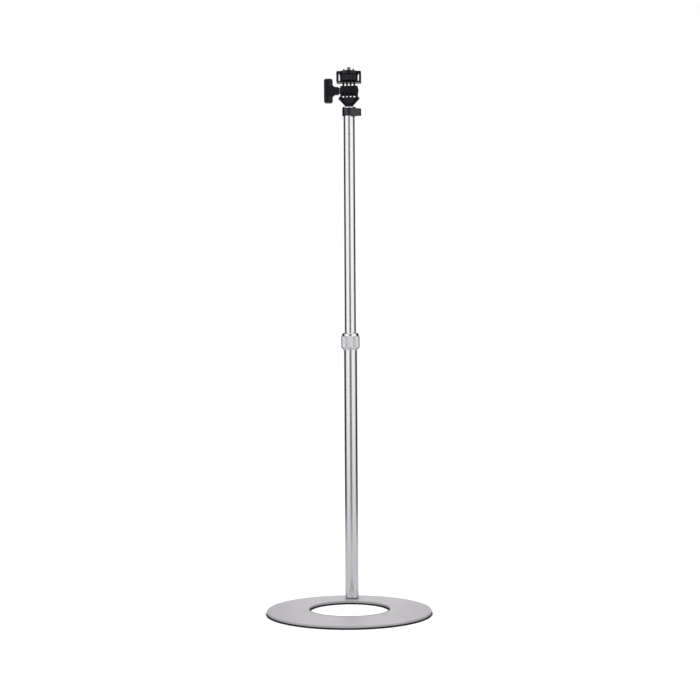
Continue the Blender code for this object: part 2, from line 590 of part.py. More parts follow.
def make_head_base(pan_axis, tilt_axis):
    """Inverted cone with five fingers that mesh with the cradle's four."""
    hinge = HINGE_RISE
    socket = INSERT_RADIUS + SLIP
    socket_top = INSERT_HEIGHT + SEAT
    cone = turned("head_base", [
        (0.0, socket_top), (socket, socket_top), (socket, 0.0),
        (CONE_FOOT_RADIUS, 0.0), (CONE_FOOT_RADIUS, CONE_NECK), (CONE_RADIUS, CONE_HEIGHT),
        (CONE_RADIUS, CONE_HEIGHT + RIM_HEIGHT), (CONE_RADIUS - RIM_EDGE, RIM_TOP), (0.0, RIM_TOP)])
    head = add_part("head_base", cone, pan_axis, BLACK_PLASTIC)

    root = CONE_HEIGHT + RIM_HEIGHT / 2 - hinge
    comb = prism("lower_comb", tab_outline(FINGER_RADIUS, root), -LEFT_CHEEK, RIGHT_CHEEK, "X")
    join(head, shifted(comb, (0.0, 0.0, hinge)))
    boss = turned("right_boss", [(0.0, 0.0), (BOSS_RADIUS, 0.0),
                                 (BOSS_RADIUS, FINGER_THICK + BOSS_RISE),
                                 (0.0, FINGER_THICK + BOSS_RISE)], SMALL_STEPS, "X")
    join(head, shifted(boss, (RIGHT_CHEEK - FINGER_THICK, 0.0, hinge)))

    floor = RIM_TOP - SLOT_DEPTH
    ceiling = hinge + FINGER_RADIUS + FINGER_GAP
    for number, place in enumerate(CRADLE_FINGERS):
        slot = rounded([
            (place - FINGER_SLOT / 2, floor, SLOT_FLOOR_EDGE),
            (place + FINGER_SLOT / 2, floor, SLOT_FLOOR_EDGE),
            (place + FINGER_SLOT / 2, ceiling, 0.0), (place - FINGER_SLOT / 2, ceiling, 0.0)], 3)
        cut(head, prism(f"finger_slot_{number}", slot, -2 * CONE_RADIUS, 2 * CONE_RADIUS, "Y"))

    bolt_bore = BOLT_RADIUS + BOLT_SLIP
    head_bore = BOLT_HEAD_RADIUS + SLIP
    seat = BOLT_SEAT - SEAT
    far = RIGHT_CHEEK + FINGER_RADIUS
    neck_half = BOLT_NECK_HALF + BOLT_SLIP
    neck = prism("neck_hole", box_outline(-neck_half, neck_half, -neck_half, neck_half),
                 seat - BOLT_NECK_LENGTH - SEAT, seat + SEAT, "X")
    cut(head, shifted(neck, (0.0, 0.0, hinge)))
    bore = turned("hinge_bore", [
        (0.0, -2 * LEFT_CHEEK), (bolt_bore, -2 * LEFT_CHEEK), (bolt_bore, seat),
        (head_bore, seat), (head_bore, far), (0.0, far)], SMALL_STEPS, "X")
    cut(head, shifted(bore, (0.0, 0.0, hinge)))

    insert_bore = STUD_RADIUS + SLIP
    add_part("head_insert", turned("head_insert", [
        (insert_bore, 0.0), (INSERT_RADIUS, 0.0), (INSERT_RADIUS, INSERT_HEIGHT),
        (insert_bore, INSERT_HEIGHT)], SMALL_STEPS), pan_axis, BRASS)

    dome_top = BOLT_SEAT + BOLT_HEAD_HEIGHT + BOLT_DOME
    dome_foot = BOLT_SEAT + BOLT_HEAD_HEIGHT - BOLT_DOME / 2
    dome = [(BOLT_HEAD_RADIUS * math.sin(math.radians(turn)),
             dome_foot + (dome_top - dome_foot) * math.cos(math.radians(turn)))
            for turn in (90, 68, 45, 22, 0)]
    end = BOLT_SEAT - BOLT_LENGTH
    bolt = add_part("hinge_bolt", turned("hinge_bolt", [
        (0.0, end), (BOLT_RADIUS - TUBE_LIP, end), (BOLT_RADIUS, end + TUBE_LIP),
        (BOLT_RADIUS, BOLT_SEAT), (BOLT_HEAD_RADIUS, BOLT_SEAT)] + dome, SMALL_STEPS, "X"),
        tilt_axis, STEEL)
    join(bolt, prism("bolt_neck", box_outline(-BOLT_NECK_HALF, BOLT_NECK_HALF,
                                              -BOLT_NECK_HALF, BOLT_NECK_HALF),
                     BOLT_SEAT - BOLT_NECK_LENGTH, BOLT_SEAT + BOLT_DOME / 2, "X"))

    add_part("hinge_washer", turned("hinge_washer", [
        (bolt_bore, -WASHER_FACE), (WASHER_RADIUS, -WASHER_FACE),
        (WASHER_RADIUS, -LEFT_CHEEK - SEAT), (bolt_bore, -LEFT_CHEEK - SEAT)],
        SMALL_STEPS, "X"), tilt_axis, STEEL)


def make_tee_knob(tilt_axis):
    """Tee knob: a bar with finger scoops, and a round stem that flares into it."""
    outer = -(TEE_FACE + TEE_DEPTH)
    inner = -TEE_FACE
    bar = rounded([
        (outer, -TEE_HALF_SPAN, TEE_CORNER), (inner, -TEE_HALF_SPAN, TEE_CORNER),
        (inner, TEE_HALF_SPAN, TEE_CORNER), (outer, TEE_HALF_SPAN, TEE_CORNER)], 6)
    knob = add_part("tee_knob", prism("tee_knob", bar, -TEE_HALF_THICK, TEE_HALF_THICK, "Y"),
                    tilt_axis, BLACK_PLASTIC)
    ease_edges(knob, TEE_EDGE, 3)
    root = inner - TEE_DEPTH / 4
    flare_radius = STEM_RADIUS + STEM_FILLET
    flare = [(flare_radius - STEM_FILLET * math.sin(math.radians(turn)),
              inner + STEM_FILLET * (1.0 - math.cos(math.radians(turn))))
             for turn in (0, 18, 36, 54, 72, 90)]
    stem = join(knob, turned("knob_stem", [(0.0, root), (flare_radius, root)] + flare + [
        (STEM_RADIUS, -STEM_FACE - STEM_NOSE), (STEM_RADIUS - STEM_NOSE, -STEM_FACE),
        (0.0, -STEM_FACE)], ROUND_STEPS, "X"))
    flat = TEE_HALF_THICK - SEAT
    combine(stem, prism("stem_flats", box_outline(2 * outer, 0.0, -TEE_HALF_SPAN, TEE_HALF_SPAN),
                        -flat, flat, "Y"), "INTERSECT")

    middle = (outer + inner) / 2
    for number, (side, end) in enumerate(((-1, -1), (-1, 1), (1, -1), (1, 1))):
        bm = bmesh.new()
        bmesh.ops.create_uvsphere(bm, u_segments=40, v_segments=28, radius=SCOOP_RADIUS)
        height = TEE_HALF_THICK - SCOOP_DEPTH + SCOOP_RADIUS
        scoop = mesh_from(bm, f"finger_scoop_{number}")
        cut(knob, shifted(scoop, (middle, side * height, end * SCOOP_SPAN)))

    hole = KNOB_INSERT_RADIUS + SLIP
    depth = -STEM_FACE - KNOB_INSERT_LENGTH - SEAT
    cut(knob, turned("knob_bore", [(0.0, depth), (hole, depth), (hole, -STEM_FACE + SEAT),
                                   (0.0, -STEM_FACE + SEAT)], SMALL_STEPS, "X"))
    bore = BOLT_RADIUS + BOLT_SLIP
    add_part("knob_insert", turned("knob_insert", [
        (bore, -STEM_FACE - KNOB_INSERT_LENGTH), (KNOB_INSERT_RADIUS, -STEM_FACE - KNOB_INSERT_LENGTH),
        (KNOB_INSERT_RADIUS, -FLANGE_FACE), (KNOB_FLANGE_RADIUS, -FLANGE_FACE),
        (KNOB_FLANGE_RADIUS, -FLANGE_FACE + KNOB_FLANGE_THICK),
        (bore, -FLANGE_FACE + KNOB_FLANGE_THICK)], SMALL_STEPS, "X"), tilt_axis, BRASS)


def make_cradle(tilt_axis):
    """Yoke round the thumb wheel: four fingers below, a round platform with pips above."""
    roof_top = PLATFORM_TOP
    outer = rounded([
        (-CRADLE_HALF_WIDTH, CRADLE_RISE, CRADLE_CORNER / 2),
        (CRADLE_HALF_WIDTH, CRADLE_RISE, CRADLE_CORNER / 2),
        (CRADLE_HALF_WIDTH, roof_top, CRADLE_CORNER),
        (-CRADLE_HALF_WIDTH, roof_top, CRADLE_CORNER)])
    cradle = add_part("cradle", prism("cradle", outer, -CRADLE_HALF_DEPTH, CRADLE_HALF_DEPTH, "Y"),
                      tilt_axis, BLACK_PLASTIC)
    inside = CRADLE_HALF_WIDTH - CRADLE_SIDE
    window = box_outline(-inside, inside, WINDOW_FOOT, roof_top - CRADLE_ROOF, WINDOW_CORNER)
    cut(cradle, prism("cradle_window", window, -CRADLE_HALF_WIDTH, CRADLE_HALF_WIDTH, "Y"))

    edge = WHEEL_EDGE / 2
    join(cradle, turned("platform_disc", [
        (0.0, PLATFORM_FOOT), (PLATFORM_RADIUS - edge, PLATFORM_FOOT),
        (PLATFORM_RADIUS, PLATFORM_FOOT + edge), (PLATFORM_RADIUS, roof_top - edge),
        (PLATFORM_RADIUS - edge, roof_top), (0.0, roof_top)]))
    comb = prism("upper_comb", tab_outline(FINGER_RADIUS, CRADLE_RISE + CRADLE_FLOOR / 2),
                 -COMB_HALF, COMB_HALF, "X")
    join(cradle, comb)
    for number, side in enumerate((-1, 1)):
        pip = turned(f"pip_{number}", [
            (0.0, roof_top - edge), (PIP_FOOT, roof_top - edge), (PIP_TIP, roof_top + PIP_HEIGHT),
            (0.0, roof_top + PIP_HEIGHT)], 16)
        join(cradle, shifted(pip, (side * PIP_REACH_X, -PIP_REACH_Y, 0.0)))

    for number, place in enumerate(CRADLE_GAPS):
        gap = box_outline(place - CRADLE_GAP_WIDTH / 2, place + CRADLE_GAP_WIDTH / 2,
                          -2 * FINGER_RADIUS, CRADLE_RISE)
        cut(cradle, prism(f"cradle_gap_{number}", gap, -2 * FINGER_RADIUS, 2 * FINGER_RADIUS, "Y"))
    bolt_bore = BOLT_RADIUS + BOLT_SLIP
    cut(cradle, turned("cradle_bore", [
        (0.0, -2 * COMB_HALF), (bolt_bore, -2 * COMB_HALF), (bolt_bore, 2 * COMB_HALF),
        (0.0, 2 * COMB_HALF)], SMALL_STEPS, "X"))
    screw_bore = SCREW_RADIUS + SCREW_SLIP
    cut(cradle, turned("screw_bore", [
        (0.0, PLATFORM_FOOT - SEAT), (screw_bore, PLATFORM_FOOT - SEAT),
        (screw_bore, roof_top + SEAT), (0.0, roof_top + SEAT)], SMALL_STEPS))

    ring_foot = roof_top + SEAT
    add_part("platform_pad", turned("platform_pad", [
        (PAD_RING_BORE, ring_foot), (PAD_RING_RADIUS, ring_foot),
        (PAD_RING_RADIUS, ring_foot + PAD_RING_THICK), (PAD_RING_BORE, ring_foot + PAD_RING_THICK)]),
        tilt_axis, BLACK_RUBBER)


def make_thumb_wheel(screw_axis):
    """Fluted wheel that lives in the cradle's window, with its screw through the platform."""
    socket = SCREW_RADIUS + SLIP
    socket_foot = WHEEL_FOOT + WHEEL_HEIGHT / 3
    wheel = add_part("thumb_wheel", turned("thumb_wheel", [
        (0.0, WHEEL_FOOT), (WHEEL_RADIUS - WHEEL_EDGE, WHEEL_FOOT),
        (WHEEL_RADIUS, WHEEL_FOOT + WHEEL_EDGE), (WHEEL_RADIUS, WHEEL_TOP - WHEEL_EDGE),
        (WHEEL_RADIUS - WHEEL_EDGE, WHEEL_TOP), (socket, WHEEL_TOP), (socket, socket_foot),
        (0.0, socket_foot)], 2 * WHEEL_FLUTES),
        screw_axis, BLACK_PLASTIC)
    bm = bmesh.new()
    reach = WHEEL_RADIUS + FLUTE_RADIUS - FLUTE_DEPTH
    for number in range(WHEEL_FLUTES):
        turn = math.tau * (number + 0.5) / WHEEL_FLUTES
        place = Matrix.Translation((reach * math.cos(turn), reach * math.sin(turn),
                                    (WHEEL_FOOT + WHEEL_TOP) / 2))
        bmesh.ops.create_cone(bm, cap_ends=True, segments=8, radius1=FLUTE_RADIUS,
                              radius2=FLUTE_RADIUS, depth=2 * WHEEL_HEIGHT, matrix=place)
    cut(wheel, mesh_from(bm, "wheel_flutes"))

    low = socket_foot + SEAT
    high = PLATFORM_TOP + SCREW_RISE
    add_part("camera_screw", turned("camera_screw", [
        (0.0, low), (SCREW_RADIUS, low), (SCREW_RADIUS, high - SCREW_TIP),
        (SCREW_RADIUS - SCREW_TIP, high), (0.0, high)], SMALL_STEPS), screw_axis, STEEL)


def build():
    for item in list(bpy.data.objects):
        bpy.data.objects.remove(item, do_unlink=True)
    floor = make_axis("floor_centre", (0.0, 0.0, 0.0))
    mast_axis = make_axis("mast_axis", (0.0, MAST_SETBACK, 0.0), floor)
    pan_axis = make_axis("pan_axis", (0.0, 0.0, HEAD_FOOT), mast_axis)
    tilt_axis = make_axis("tilt_axis", (0.0, 0.0, HINGE_RISE), pan_axis)
    screw_axis = make_axis("screw_axis", (0.0, 0.0, 0.0), tilt_axis)
    make_base(floor, mast_axis)
    make_foot(mast_axis)
    make_lower_mast(mast_axis)
    make_lock_nut(mast_axis)
    make_upper_mast(mast_axis)
    make_cable_clip(mast_axis)
    make_head_base(pan_axis, tilt_axis)
    make_tee_knob(tilt_axis)
    make_cradle(tilt_axis)
    make_thumb_wheel(screw_axis)
    bpy.context.view_layer.update()


build()
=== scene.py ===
"""Desk light stand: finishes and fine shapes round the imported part.

Units are metres, in the part's own frame: +Z up, the mast behind the ring's centre towards +Y.
"""

import json
import math

import bmesh
import bpy
from mathutils import Matrix, Vector

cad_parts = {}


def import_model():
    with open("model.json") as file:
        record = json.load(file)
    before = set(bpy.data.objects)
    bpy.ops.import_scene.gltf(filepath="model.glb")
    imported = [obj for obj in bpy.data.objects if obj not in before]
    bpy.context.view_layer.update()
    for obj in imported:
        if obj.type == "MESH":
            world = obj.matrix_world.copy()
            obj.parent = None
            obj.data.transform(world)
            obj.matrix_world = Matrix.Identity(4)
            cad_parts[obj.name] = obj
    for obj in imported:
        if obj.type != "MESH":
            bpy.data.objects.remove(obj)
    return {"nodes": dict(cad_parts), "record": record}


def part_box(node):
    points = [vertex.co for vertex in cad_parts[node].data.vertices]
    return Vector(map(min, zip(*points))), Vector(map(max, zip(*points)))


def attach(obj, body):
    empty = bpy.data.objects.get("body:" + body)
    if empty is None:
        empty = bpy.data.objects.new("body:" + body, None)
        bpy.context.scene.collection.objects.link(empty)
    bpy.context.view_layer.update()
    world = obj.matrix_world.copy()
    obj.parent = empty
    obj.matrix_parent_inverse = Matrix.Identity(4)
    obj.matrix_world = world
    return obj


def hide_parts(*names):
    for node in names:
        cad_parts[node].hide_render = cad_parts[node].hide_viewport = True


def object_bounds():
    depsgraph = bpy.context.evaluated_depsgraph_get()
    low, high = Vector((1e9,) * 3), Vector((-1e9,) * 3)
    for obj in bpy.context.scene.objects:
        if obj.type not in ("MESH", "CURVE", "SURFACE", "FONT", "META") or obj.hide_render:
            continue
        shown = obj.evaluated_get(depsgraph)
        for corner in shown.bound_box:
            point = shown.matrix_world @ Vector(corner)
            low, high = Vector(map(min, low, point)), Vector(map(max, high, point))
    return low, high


# The photograph's camera
IMAGE_SIDE = 700
SENSOR_WIDTH = 36.0
FOCAL_PIXELS = 1387.5
CENTRE_COLUMN = 347.7        # the image column that the lens axis meets
CAMERA_AZIMUTH_DEG = 2.5
CAMERA_ROLL_DEG = 0.356
CAMERA_DISTANCE = 2.2255
CAMERA_HEIGHT = 0.4222

# Facets of round pieces
TUBE_STEPS = 160
RING_STEPS = 288
PART_STEPS = 112
SMALL_STEPS = 64
PIP_STEPS = 32
MERGE = 1e-6

# Edges that count as sharp for wear and for the painted edge highlight
EDGE_STARTS_DEG = 7.0
EDGE_FULL_DEG = 22.0

# Small roundings
HAIR = 0.0001
CRISP = 0.0002
LIGHT = 0.0003
SOFT = 0.0004
FULL = 0.0006

# Base
HOLE_RADIUS = 0.065
HOLE_SHIFT = 0.013
PLATE_EDGE = 0.0007
PAD_INSET = 0.0012
PAD_EDGE = 0.0004
SINK_SHANK = 0.0033
SINK_HEAD = 0.0065
PAD_ACCESS = 0.0085
GASKET_BORE = 0.006

# Mast
TUBE_WALL = 0.0009
TUBE_LIP = 0.0004
SLIP = 0.0003
NUT_STEP = 0.0011
NUT_FOOT = 0.0034
NUT_FOOT_ROUND = 0.0005
NUT_SHOULDER = 0.0058
NUT_CURVE_SHARE = 0.6        # of the shoulder's height, which the rounding takes up
NUT_CAVITY = 0.0018
NUT_FLOOR = 0.0014
KNURL_DEPTH = 0.00042
KNURL_COLUMNS = 52
KNURL_LIFT = 0.02            # share of the depth that the diamonds' feet stand off the root
KNURL_FLAT = 0.16            # a diamond's flat top, as a share of its foot
CAP_TOP_RADIUS = 0.0079
CAP_BORE = 0.0034
CLIP_WALL = 0.0017
CLIP_TOP_EDGE = 0.0005
CLIP_FOOT_EDGE = 0.0013
CLIP_FOOT_RISE = 0.0018
CLIP_FOOT_ROUND = 0.0012
CLIP_MOUTH_DEG = 65.0
CLIP_MOUTH_AT_DEG = 127.0
CLIP_EAR_RISE = 0.0023
CLIP_DIP_DEG = 100.0
HOOK_LEAVES_DEG = 18.0
HOOK_RADIUS = 0.0075
HOOK_WALL = 0.0022
HOOK_END_DEG = 165.0
HOOK_TOP_TRIM = 0.0003
HOOK_FOOT_DROP = 0.0012
HOOK_FOOT_SLOPE = 0.22
HOOK_ROOT_SHARE = 0.9        # how far back the hook's inner wall starts, along the ring's chord
MOULD_EDGE = 0.0003
THICK_MOULD_EDGE = MOULD_EDGE * 1.3

# Head
CONE_FOOT_RADIUS = 0.0066
CONE_NECK = 0.0012
CONE_NECK_ROUND = 0.0008
INSERT_SOCKET = 0.0049
INSERT_DEPTH = 0.0098
CONE_HEIGHT = 0.0130
RIM_HEIGHT = 0.0019
RIM_EDGE = 0.0012
FINGER_PITCH = 0.00613
FINGER_THICK = 0.0028
FINGER_RADIUS = 0.0086
FINGER_GAP = 0.000265
LEFT_CHEEK = 0.0143
RIGHT_CHEEK = 0.0151
SLOT_DEPTH = 0.0028
BOSS_RADIUS = 0.0064
BOLT_HEAD_RADIUS = 0.0050
BOLT_HEAD_HEIGHT = 0.0018
BOLT_DOME = 0.0009
BOLT_RADIUS = 0.0025
BOLT_NECK = 0.0028
BOLT_NECK_LENGTH = 0.0018

# Tee knob, outwards from the left cheek
KNOB_FLANGE_THICK = 0.0010
KNOB_INSERT_RADIUS = 0.0042
STEM_RADIUS = 0.0070
STEM_FILLET = 0.0056
STEM_NOSE = 0.0003
TEE_DEPTH = 0.0145
TEE_CORNER = 0.0034
TEE_EDGE = 0.0018
SCOOP_RADIUS = 0.018
SCOOP_DEPTH = 0.0009
SCOOP_SPAN = 0.0130

# Cradle, up from the hinge's axis
CRADLE_RISE = 0.0131
CRADLE_FLOOR = 0.0024
CRADLE_SIDE = 0.0035
CRADLE_ROOF = 0.0027
CRADLE_CORNER = 0.0020
WINDOW_CORNER = 0.0010
YOKE_HALF_DEPTH = 0.0080
PLATFORM_RADIUS = 0.0160
PLATFORM_THICK = 0.0058
SCREW_BORE = 0.0035
PAD_RING_BORE = 0.0045
PAD_RIBS = 6
PAD_RIB_ROUND = 0.00012
PAD_GROOVE_ROUND = 0.00005
PAD_GROOVE_SHARE = 0.35      # of the pad's thickness
PAD_RIB_SHARES = (0.08, 0.62, 0.74, 0.96)    # crest from and to, groove from and to
PIP_REACH_X = 0.0078
PIP_REACH_Y = 0.0110
PIP_FOOT = 0.0017
PIP_TIP = 0.0007
PIP_TIP_ROUND = PIP_TIP * 0.7
PIP_HEIGHT = 0.0030

# Thumb wheel and its screw
WHEEL_EDGE = 0.0011
WHEEL_FLUTES = 30
FLUTE_STEPS = 12             # facets from flute to flute
FLUTE_DEPTH = 0.00045
FLUTE_SHARE = 0.26           # half a flute's width, as a share of the spacing
FLUTE_STARTS = 0.93          # shares of the wheel's radius between which the press comes in
FLUTE_FULL = 0.97
THREAD_PITCH = 0.00127
THREAD_DEPTH = 0.00055
RIDGE_FOOT = 0.86            # shares of the pitch
RIDGE_CREST = 0.14
SCREW_TIP = 0.0009

# Studio
WHITE = (1.0, 1.0, 1.0, 1.0)
ROOM_LEVEL = 0.46            # soft light from all round, as the world gives it to matt surfaces
FLOOR_RADIUS = 30.0
FLOOR_COLOR = (0.66, 0.65, 0.67, 1.0)
FLOOR_IN_GLOSS = (0.50, 0.49, 0.51, 1.0)
FLOOR_GLOW = 1.28
GLOW_SEEN = 0.74             # share of the glow that the camera sees
GLOW_IN_GLOSS = 0.55         # and that gloss sees, once the floor is far away
FAR_FLOOR = 5.0
FLOOR_ROUGHNESS = 0.9
FLOOR_SPECULAR = 0.1
CONTACT_SHADOW = (0.03, 0.03, 0.03, 1.0)
SHADOW_REACH = 0.007         # how far from the stand's foot its contact shadow can lie
SHADOW_FADES = (0.60, 0.82)  # openness of the floor between which that shadow fades out
CARD_RADIUS = 0.62           # cards round the stand, which only gloss sees
CARD_COLOR = (0.96, 0.93, 1.0, 1.0)
CARD_HEIGHT = 3.0
CARD_FADE = 0.10             # height over which a card's foot fades in
CARD_STEPS = 32
AIM_SHARE = 0.45             # of the stand's height, where the lamps point


# Outlines and meshes

def arc(start_deg, end_deg, steps):
    """The (cosine, sine) of evenly spaced angles."""
    turns = [math.radians(start_deg + (end_deg - start_deg) * step / steps)
             for step in range(steps + 1)]
    return [(math.cos(turn), math.sin(turn)) for turn in turns]


def bow(start_deg, end_deg, steps, middle, reach_u, reach_v):
    """Points along part of an ellipse about its middle."""
    return [(middle[0] + reach_u * cosine, middle[1] + reach_v * sine)
            for cosine, sine in arc(start_deg, end_deg, steps)]


def eased(corners, steps=5):
    """Closed outline through (u, v) corners, with an arc at each one that also has a radius."""
    points = []
    count = len(corners)
    for index, (u, v, *rounding) in enumerate(corners):
        here = Vector((u, v))
        radius = sum(rounding)
        if radius <= 0.0:
            points.append((u, v))
            continue
        back = (Vector(corners[index - 1][:2]) - here).normalized()
        ahead = (Vector(corners[(index + 1) % count][:2]) - here).normalized()
        half = back.angle(ahead) / 2
        centre = here + (back + ahead).normalized() * (radius / math.sin(half))
        start = here + back * (radius / math.tan(half)) - centre
        finish = here + ahead * (radius / math.tan(half)) - centre
        sweep = start.angle_signed(finish)
        for step in range(steps + 1):
            turn = Matrix.Rotation(-sweep * step / steps, 2)
            points.append(tuple(centre + turn @ start))
    return points


def box_outline(low_u, high_u, low_v, high_v, roundings=0.0, steps=5):
    """Rectangle with one rounding, or with one for each corner from (low_u, low_v) on."""
    if isinstance(roundings, float):
        roundings = (roundings,) * 4
    corners = ((low_u, low_v), (high_u, low_v), (high_u, high_v), (low_u, high_v))
    return eased([(*corner, rounding) for corner, rounding in zip(corners, roundings)], steps)


def poured(bm, name):
    mesh = bpy.data.meshes.new(name)
    bm.to_mesh(mesh)
    bm.free()
    return mesh


def settled(bm, name):
    """The bmesh as a mesh, with its doubles merged and its faces pointing outwards."""
    bmesh.ops.remove_doubles(bm, verts=bm.verts, dist=MERGE)
    bmesh.ops.recalc_face_normals(bm, faces=bm.faces)
    return poured(bm, name)


def lathe(name, outline, steps=PART_STEPS, along="Z"):
    """Turn a closed (radius, height) outline about Z, or lay the turned solid along X."""
    bm = bmesh.new()
    corners = [bm.verts.new((radius, 0.0, height)) for radius, height in outline]
    for first, second in zip(corners, corners[1:] + corners[:1]):
        if first.co.x > 0.0 or second.co.x > 0.0:
            bm.edges.new((first, second))
    bmesh.ops.spin(bm, geom=corners + bm.edges[:], cent=(0, 0, 0), axis=(0, 0, 1),
                   angle=math.tau, steps=steps, use_merge=True)
    if along == "X":
        bmesh.ops.rotate(bm, verts=bm.verts, matrix=Matrix.Rotation(math.radians(90), 3, "Y"))
    return settled(bm, name)


def prism(name, outline, low, high, along="Z"):
    """Extrude a closed outline, drawn in the two axes that along leaves."""
    places = {"X": lambda u, v, w: (w, u, v),
              "Y": lambda u, v, w: (u, w, v),
              "Z": lambda u, v, w: (u, v, w)}
    place = places[along]
    bm = bmesh.new()
    face = bm.faces.new([bm.verts.new(place(u, v, low)) for u, v in outline])
    grown = bmesh.ops.extrude_face_region(bm, geom=[face])
    moved = [item for item in grown["geom"] if isinstance(item, bmesh.types.BMVert)]
    bmesh.ops.translate(bm, vec=Vector(place(0.0, 0.0, high - low)), verts=moved)
    return settled(bm, name)


def moved(mesh, x=0.0, y=0.0, z=0.0):
    mesh.transform(Matrix.Translation((x, y, z)))
    return mesh


def shown(data, name=None):
    """A mesh, lamp or camera as an object in the scene."""
    piece = bpy.data.objects.new(name or data.name, data)
    bpy.context.scene.collection.objects.link(piece)
    return piece


def combine(piece, mesh, operation="DIFFERENCE"):
    """Add a Boolean step with the mesh as its tool."""
    step = piece.modifiers.new(mesh.name, "BOOLEAN")
    step.operation = operation
    step.solver = "EXACT"
    step.object = shown(mesh)
    step.object.hide_render = True


def ease_edges(piece, width, segments=3, angle_deg=32.0):
    step = piece.modifiers.new("eased_edges", "BEVEL")
    step.width = width
    step.segments = segments
    step.limit_method = "ANGLE"
    step.angle_limit = math.radians(angle_deg)
    step.use_clamp_overlap = True


def made_plain(piece):
    """Turn the modifiers into a plain mesh, smooth it and mark how sharp each edge is."""
    tools = [step.object for step in piece.modifiers if step.type == "BOOLEAN"]
    weighted = piece.modifiers.new("weighted_normals", "WEIGHTED_NORMAL")
    weighted.keep_sharp = True
    piece.data.shade_smooth()
    graph = bpy.context.evaluated_depsgraph_get()
    mesh = bpy.data.meshes.new_from_object(piece.evaluated_get(graph))
    piece.modifiers.clear()
    piece.data = mesh
    for tool in tools:
        bpy.data.objects.remove(tool)
    mark_edges(mesh)
    return piece


def turned(name, outline, steps=PART_STEPS, along="Z"):
    """A finished piece from a turned outline."""
    return made_plain(shown(lathe(name, outline, steps, along)))


def mark_edges(mesh):
    """Store on each point how sharply the surface turns outwards there, from 0 to 1."""
    bm = bmesh.new()
    bm.from_mesh(mesh)
    turns = [0.0] * len(bm.verts)
    for edge in bm.edges:
        if len(edge.link_faces) == 2:
            turn = edge.calc_face_angle_signed(0.0)
            for vert in edge.verts:
                turns[vert.index] = max(turns[vert.index], turn)
    bm.free()
    low, high = math.radians(EDGE_STARTS_DEG), math.radians(EDGE_FULL_DEG)
    shares = [min(1.0, max(0.0, (turn - low) / (high - low))) for turn in turns]
    mark = mesh.attributes.new("edge", "FLOAT", "POINT")
    mark.data.foreach_set("value", shares)


def joined(name, pieces):
    """Join finished pieces into the first one, under the new name."""
    with bpy.context.temp_override(active_object=pieces[0], selected_editable_objects=pieces):
        bpy.ops.object.join()
    pieces[0].name = name
    return pieces[0]


# Nodes

class Term:
    """A number in a node tree, on which plain arithmetic makes Math nodes."""

    def __init__(self, tree, socket):
        self.tree = tree
        self.socket = socket

    def math(self, operation, *others):
        return arithmetic(self.tree, operation, self, *others)

    def __add__(self, other):
        return self.math("ADD", other)

    def __sub__(self, other):
        return self.math("SUBTRACT", other)

    def __rsub__(self, other):
        return arithmetic(self.tree, "SUBTRACT", other, self)

    def __mul__(self, other):
        return self.math("MULTIPLY", other)

    def __truediv__(self, other):
        return self.math("DIVIDE", other)

    def __rtruediv__(self, other):
        return arithmetic(self.tree, "DIVIDE", other, self)


def feed(tree, source, target):
    """Set a socket to a plain value, or link it to a socket, a term or a node's first output."""
    if isinstance(source, (int, float, tuple)):
        target.default_value = source
        return
    if isinstance(source, bpy.types.Node):
        source = source.outputs[0]
    tree.links.new(source.socket if isinstance(source, Term) else source, target)


def fill(tree, node, inputs):
    """Feed a node's inputs by name or number."""
    for key, source in inputs.items():
        feed(tree, source, node.inputs[key])
    return node


def add_node(tree, kind, inputs=None, **settings):
    node = tree.nodes.new(kind)
    for key, value in settings.items():
        setattr(node, key, value)
    return fill(tree, node, inputs or {})


def arithmetic(tree, operation, *numbers):
    node = add_node(tree, "ShaderNodeMath", dict(enumerate(numbers)), operation=operation)
    return Term(tree, node.outputs[0])


def ramp_between(tree, value, low, high, shape="SMOOTHSTEP"):
    """The value taken from 0 at low to 1 at high."""
    ramp = add_node(tree, "ShaderNodeMapRange", {"Value": value, "From Min": low, "From Max": high},
                    interpolation_type=shape)
    return Term(tree, ramp.outputs["Result"])


def noise(tree, vector, scale, detail=2.0, roughness=0.5):
    return add_node(tree, "ShaderNodeTexNoise", {
        "Vector": vector, "Scale": scale, "Detail": detail, "Roughness": roughness}).outputs["Fac"]


def blend(tree, first, second, share):
    """Two colours mixed by the share of the second."""
    return add_node(tree, "ShaderNodeMix", {"A": first, "B": second, "Factor": share},
                    data_type="RGBA").outputs["Result"]


def add_inputs(tree, inputs):
    """Named inputs of a group, each of the kind that its default has."""
    kinds = {int: "NodeSocketInt", float: "NodeSocketFloat", tuple: "NodeSocketVector"}
    for name, default in inputs.items():
        socket = tree.interface.new_socket(name, in_out="INPUT", socket_type=kinds[type(default)])
        socket.default_value = default


# Shared effects and finishes

def new_group(name, inputs, outputs):
    """A shader group with a vector, these inputs and these outputs, and what enters it."""
    group = bpy.data.node_groups.new(name, "ShaderNodeTree")
    add_inputs(group, {"Vector": (0.0, 0.0, 0.0), **inputs})
    for output in outputs:
        group.interface.new_socket(output, in_out="OUTPUT", socket_type="NodeSocketFloat")
    return group, group.nodes.new("NodeGroupInput").outputs


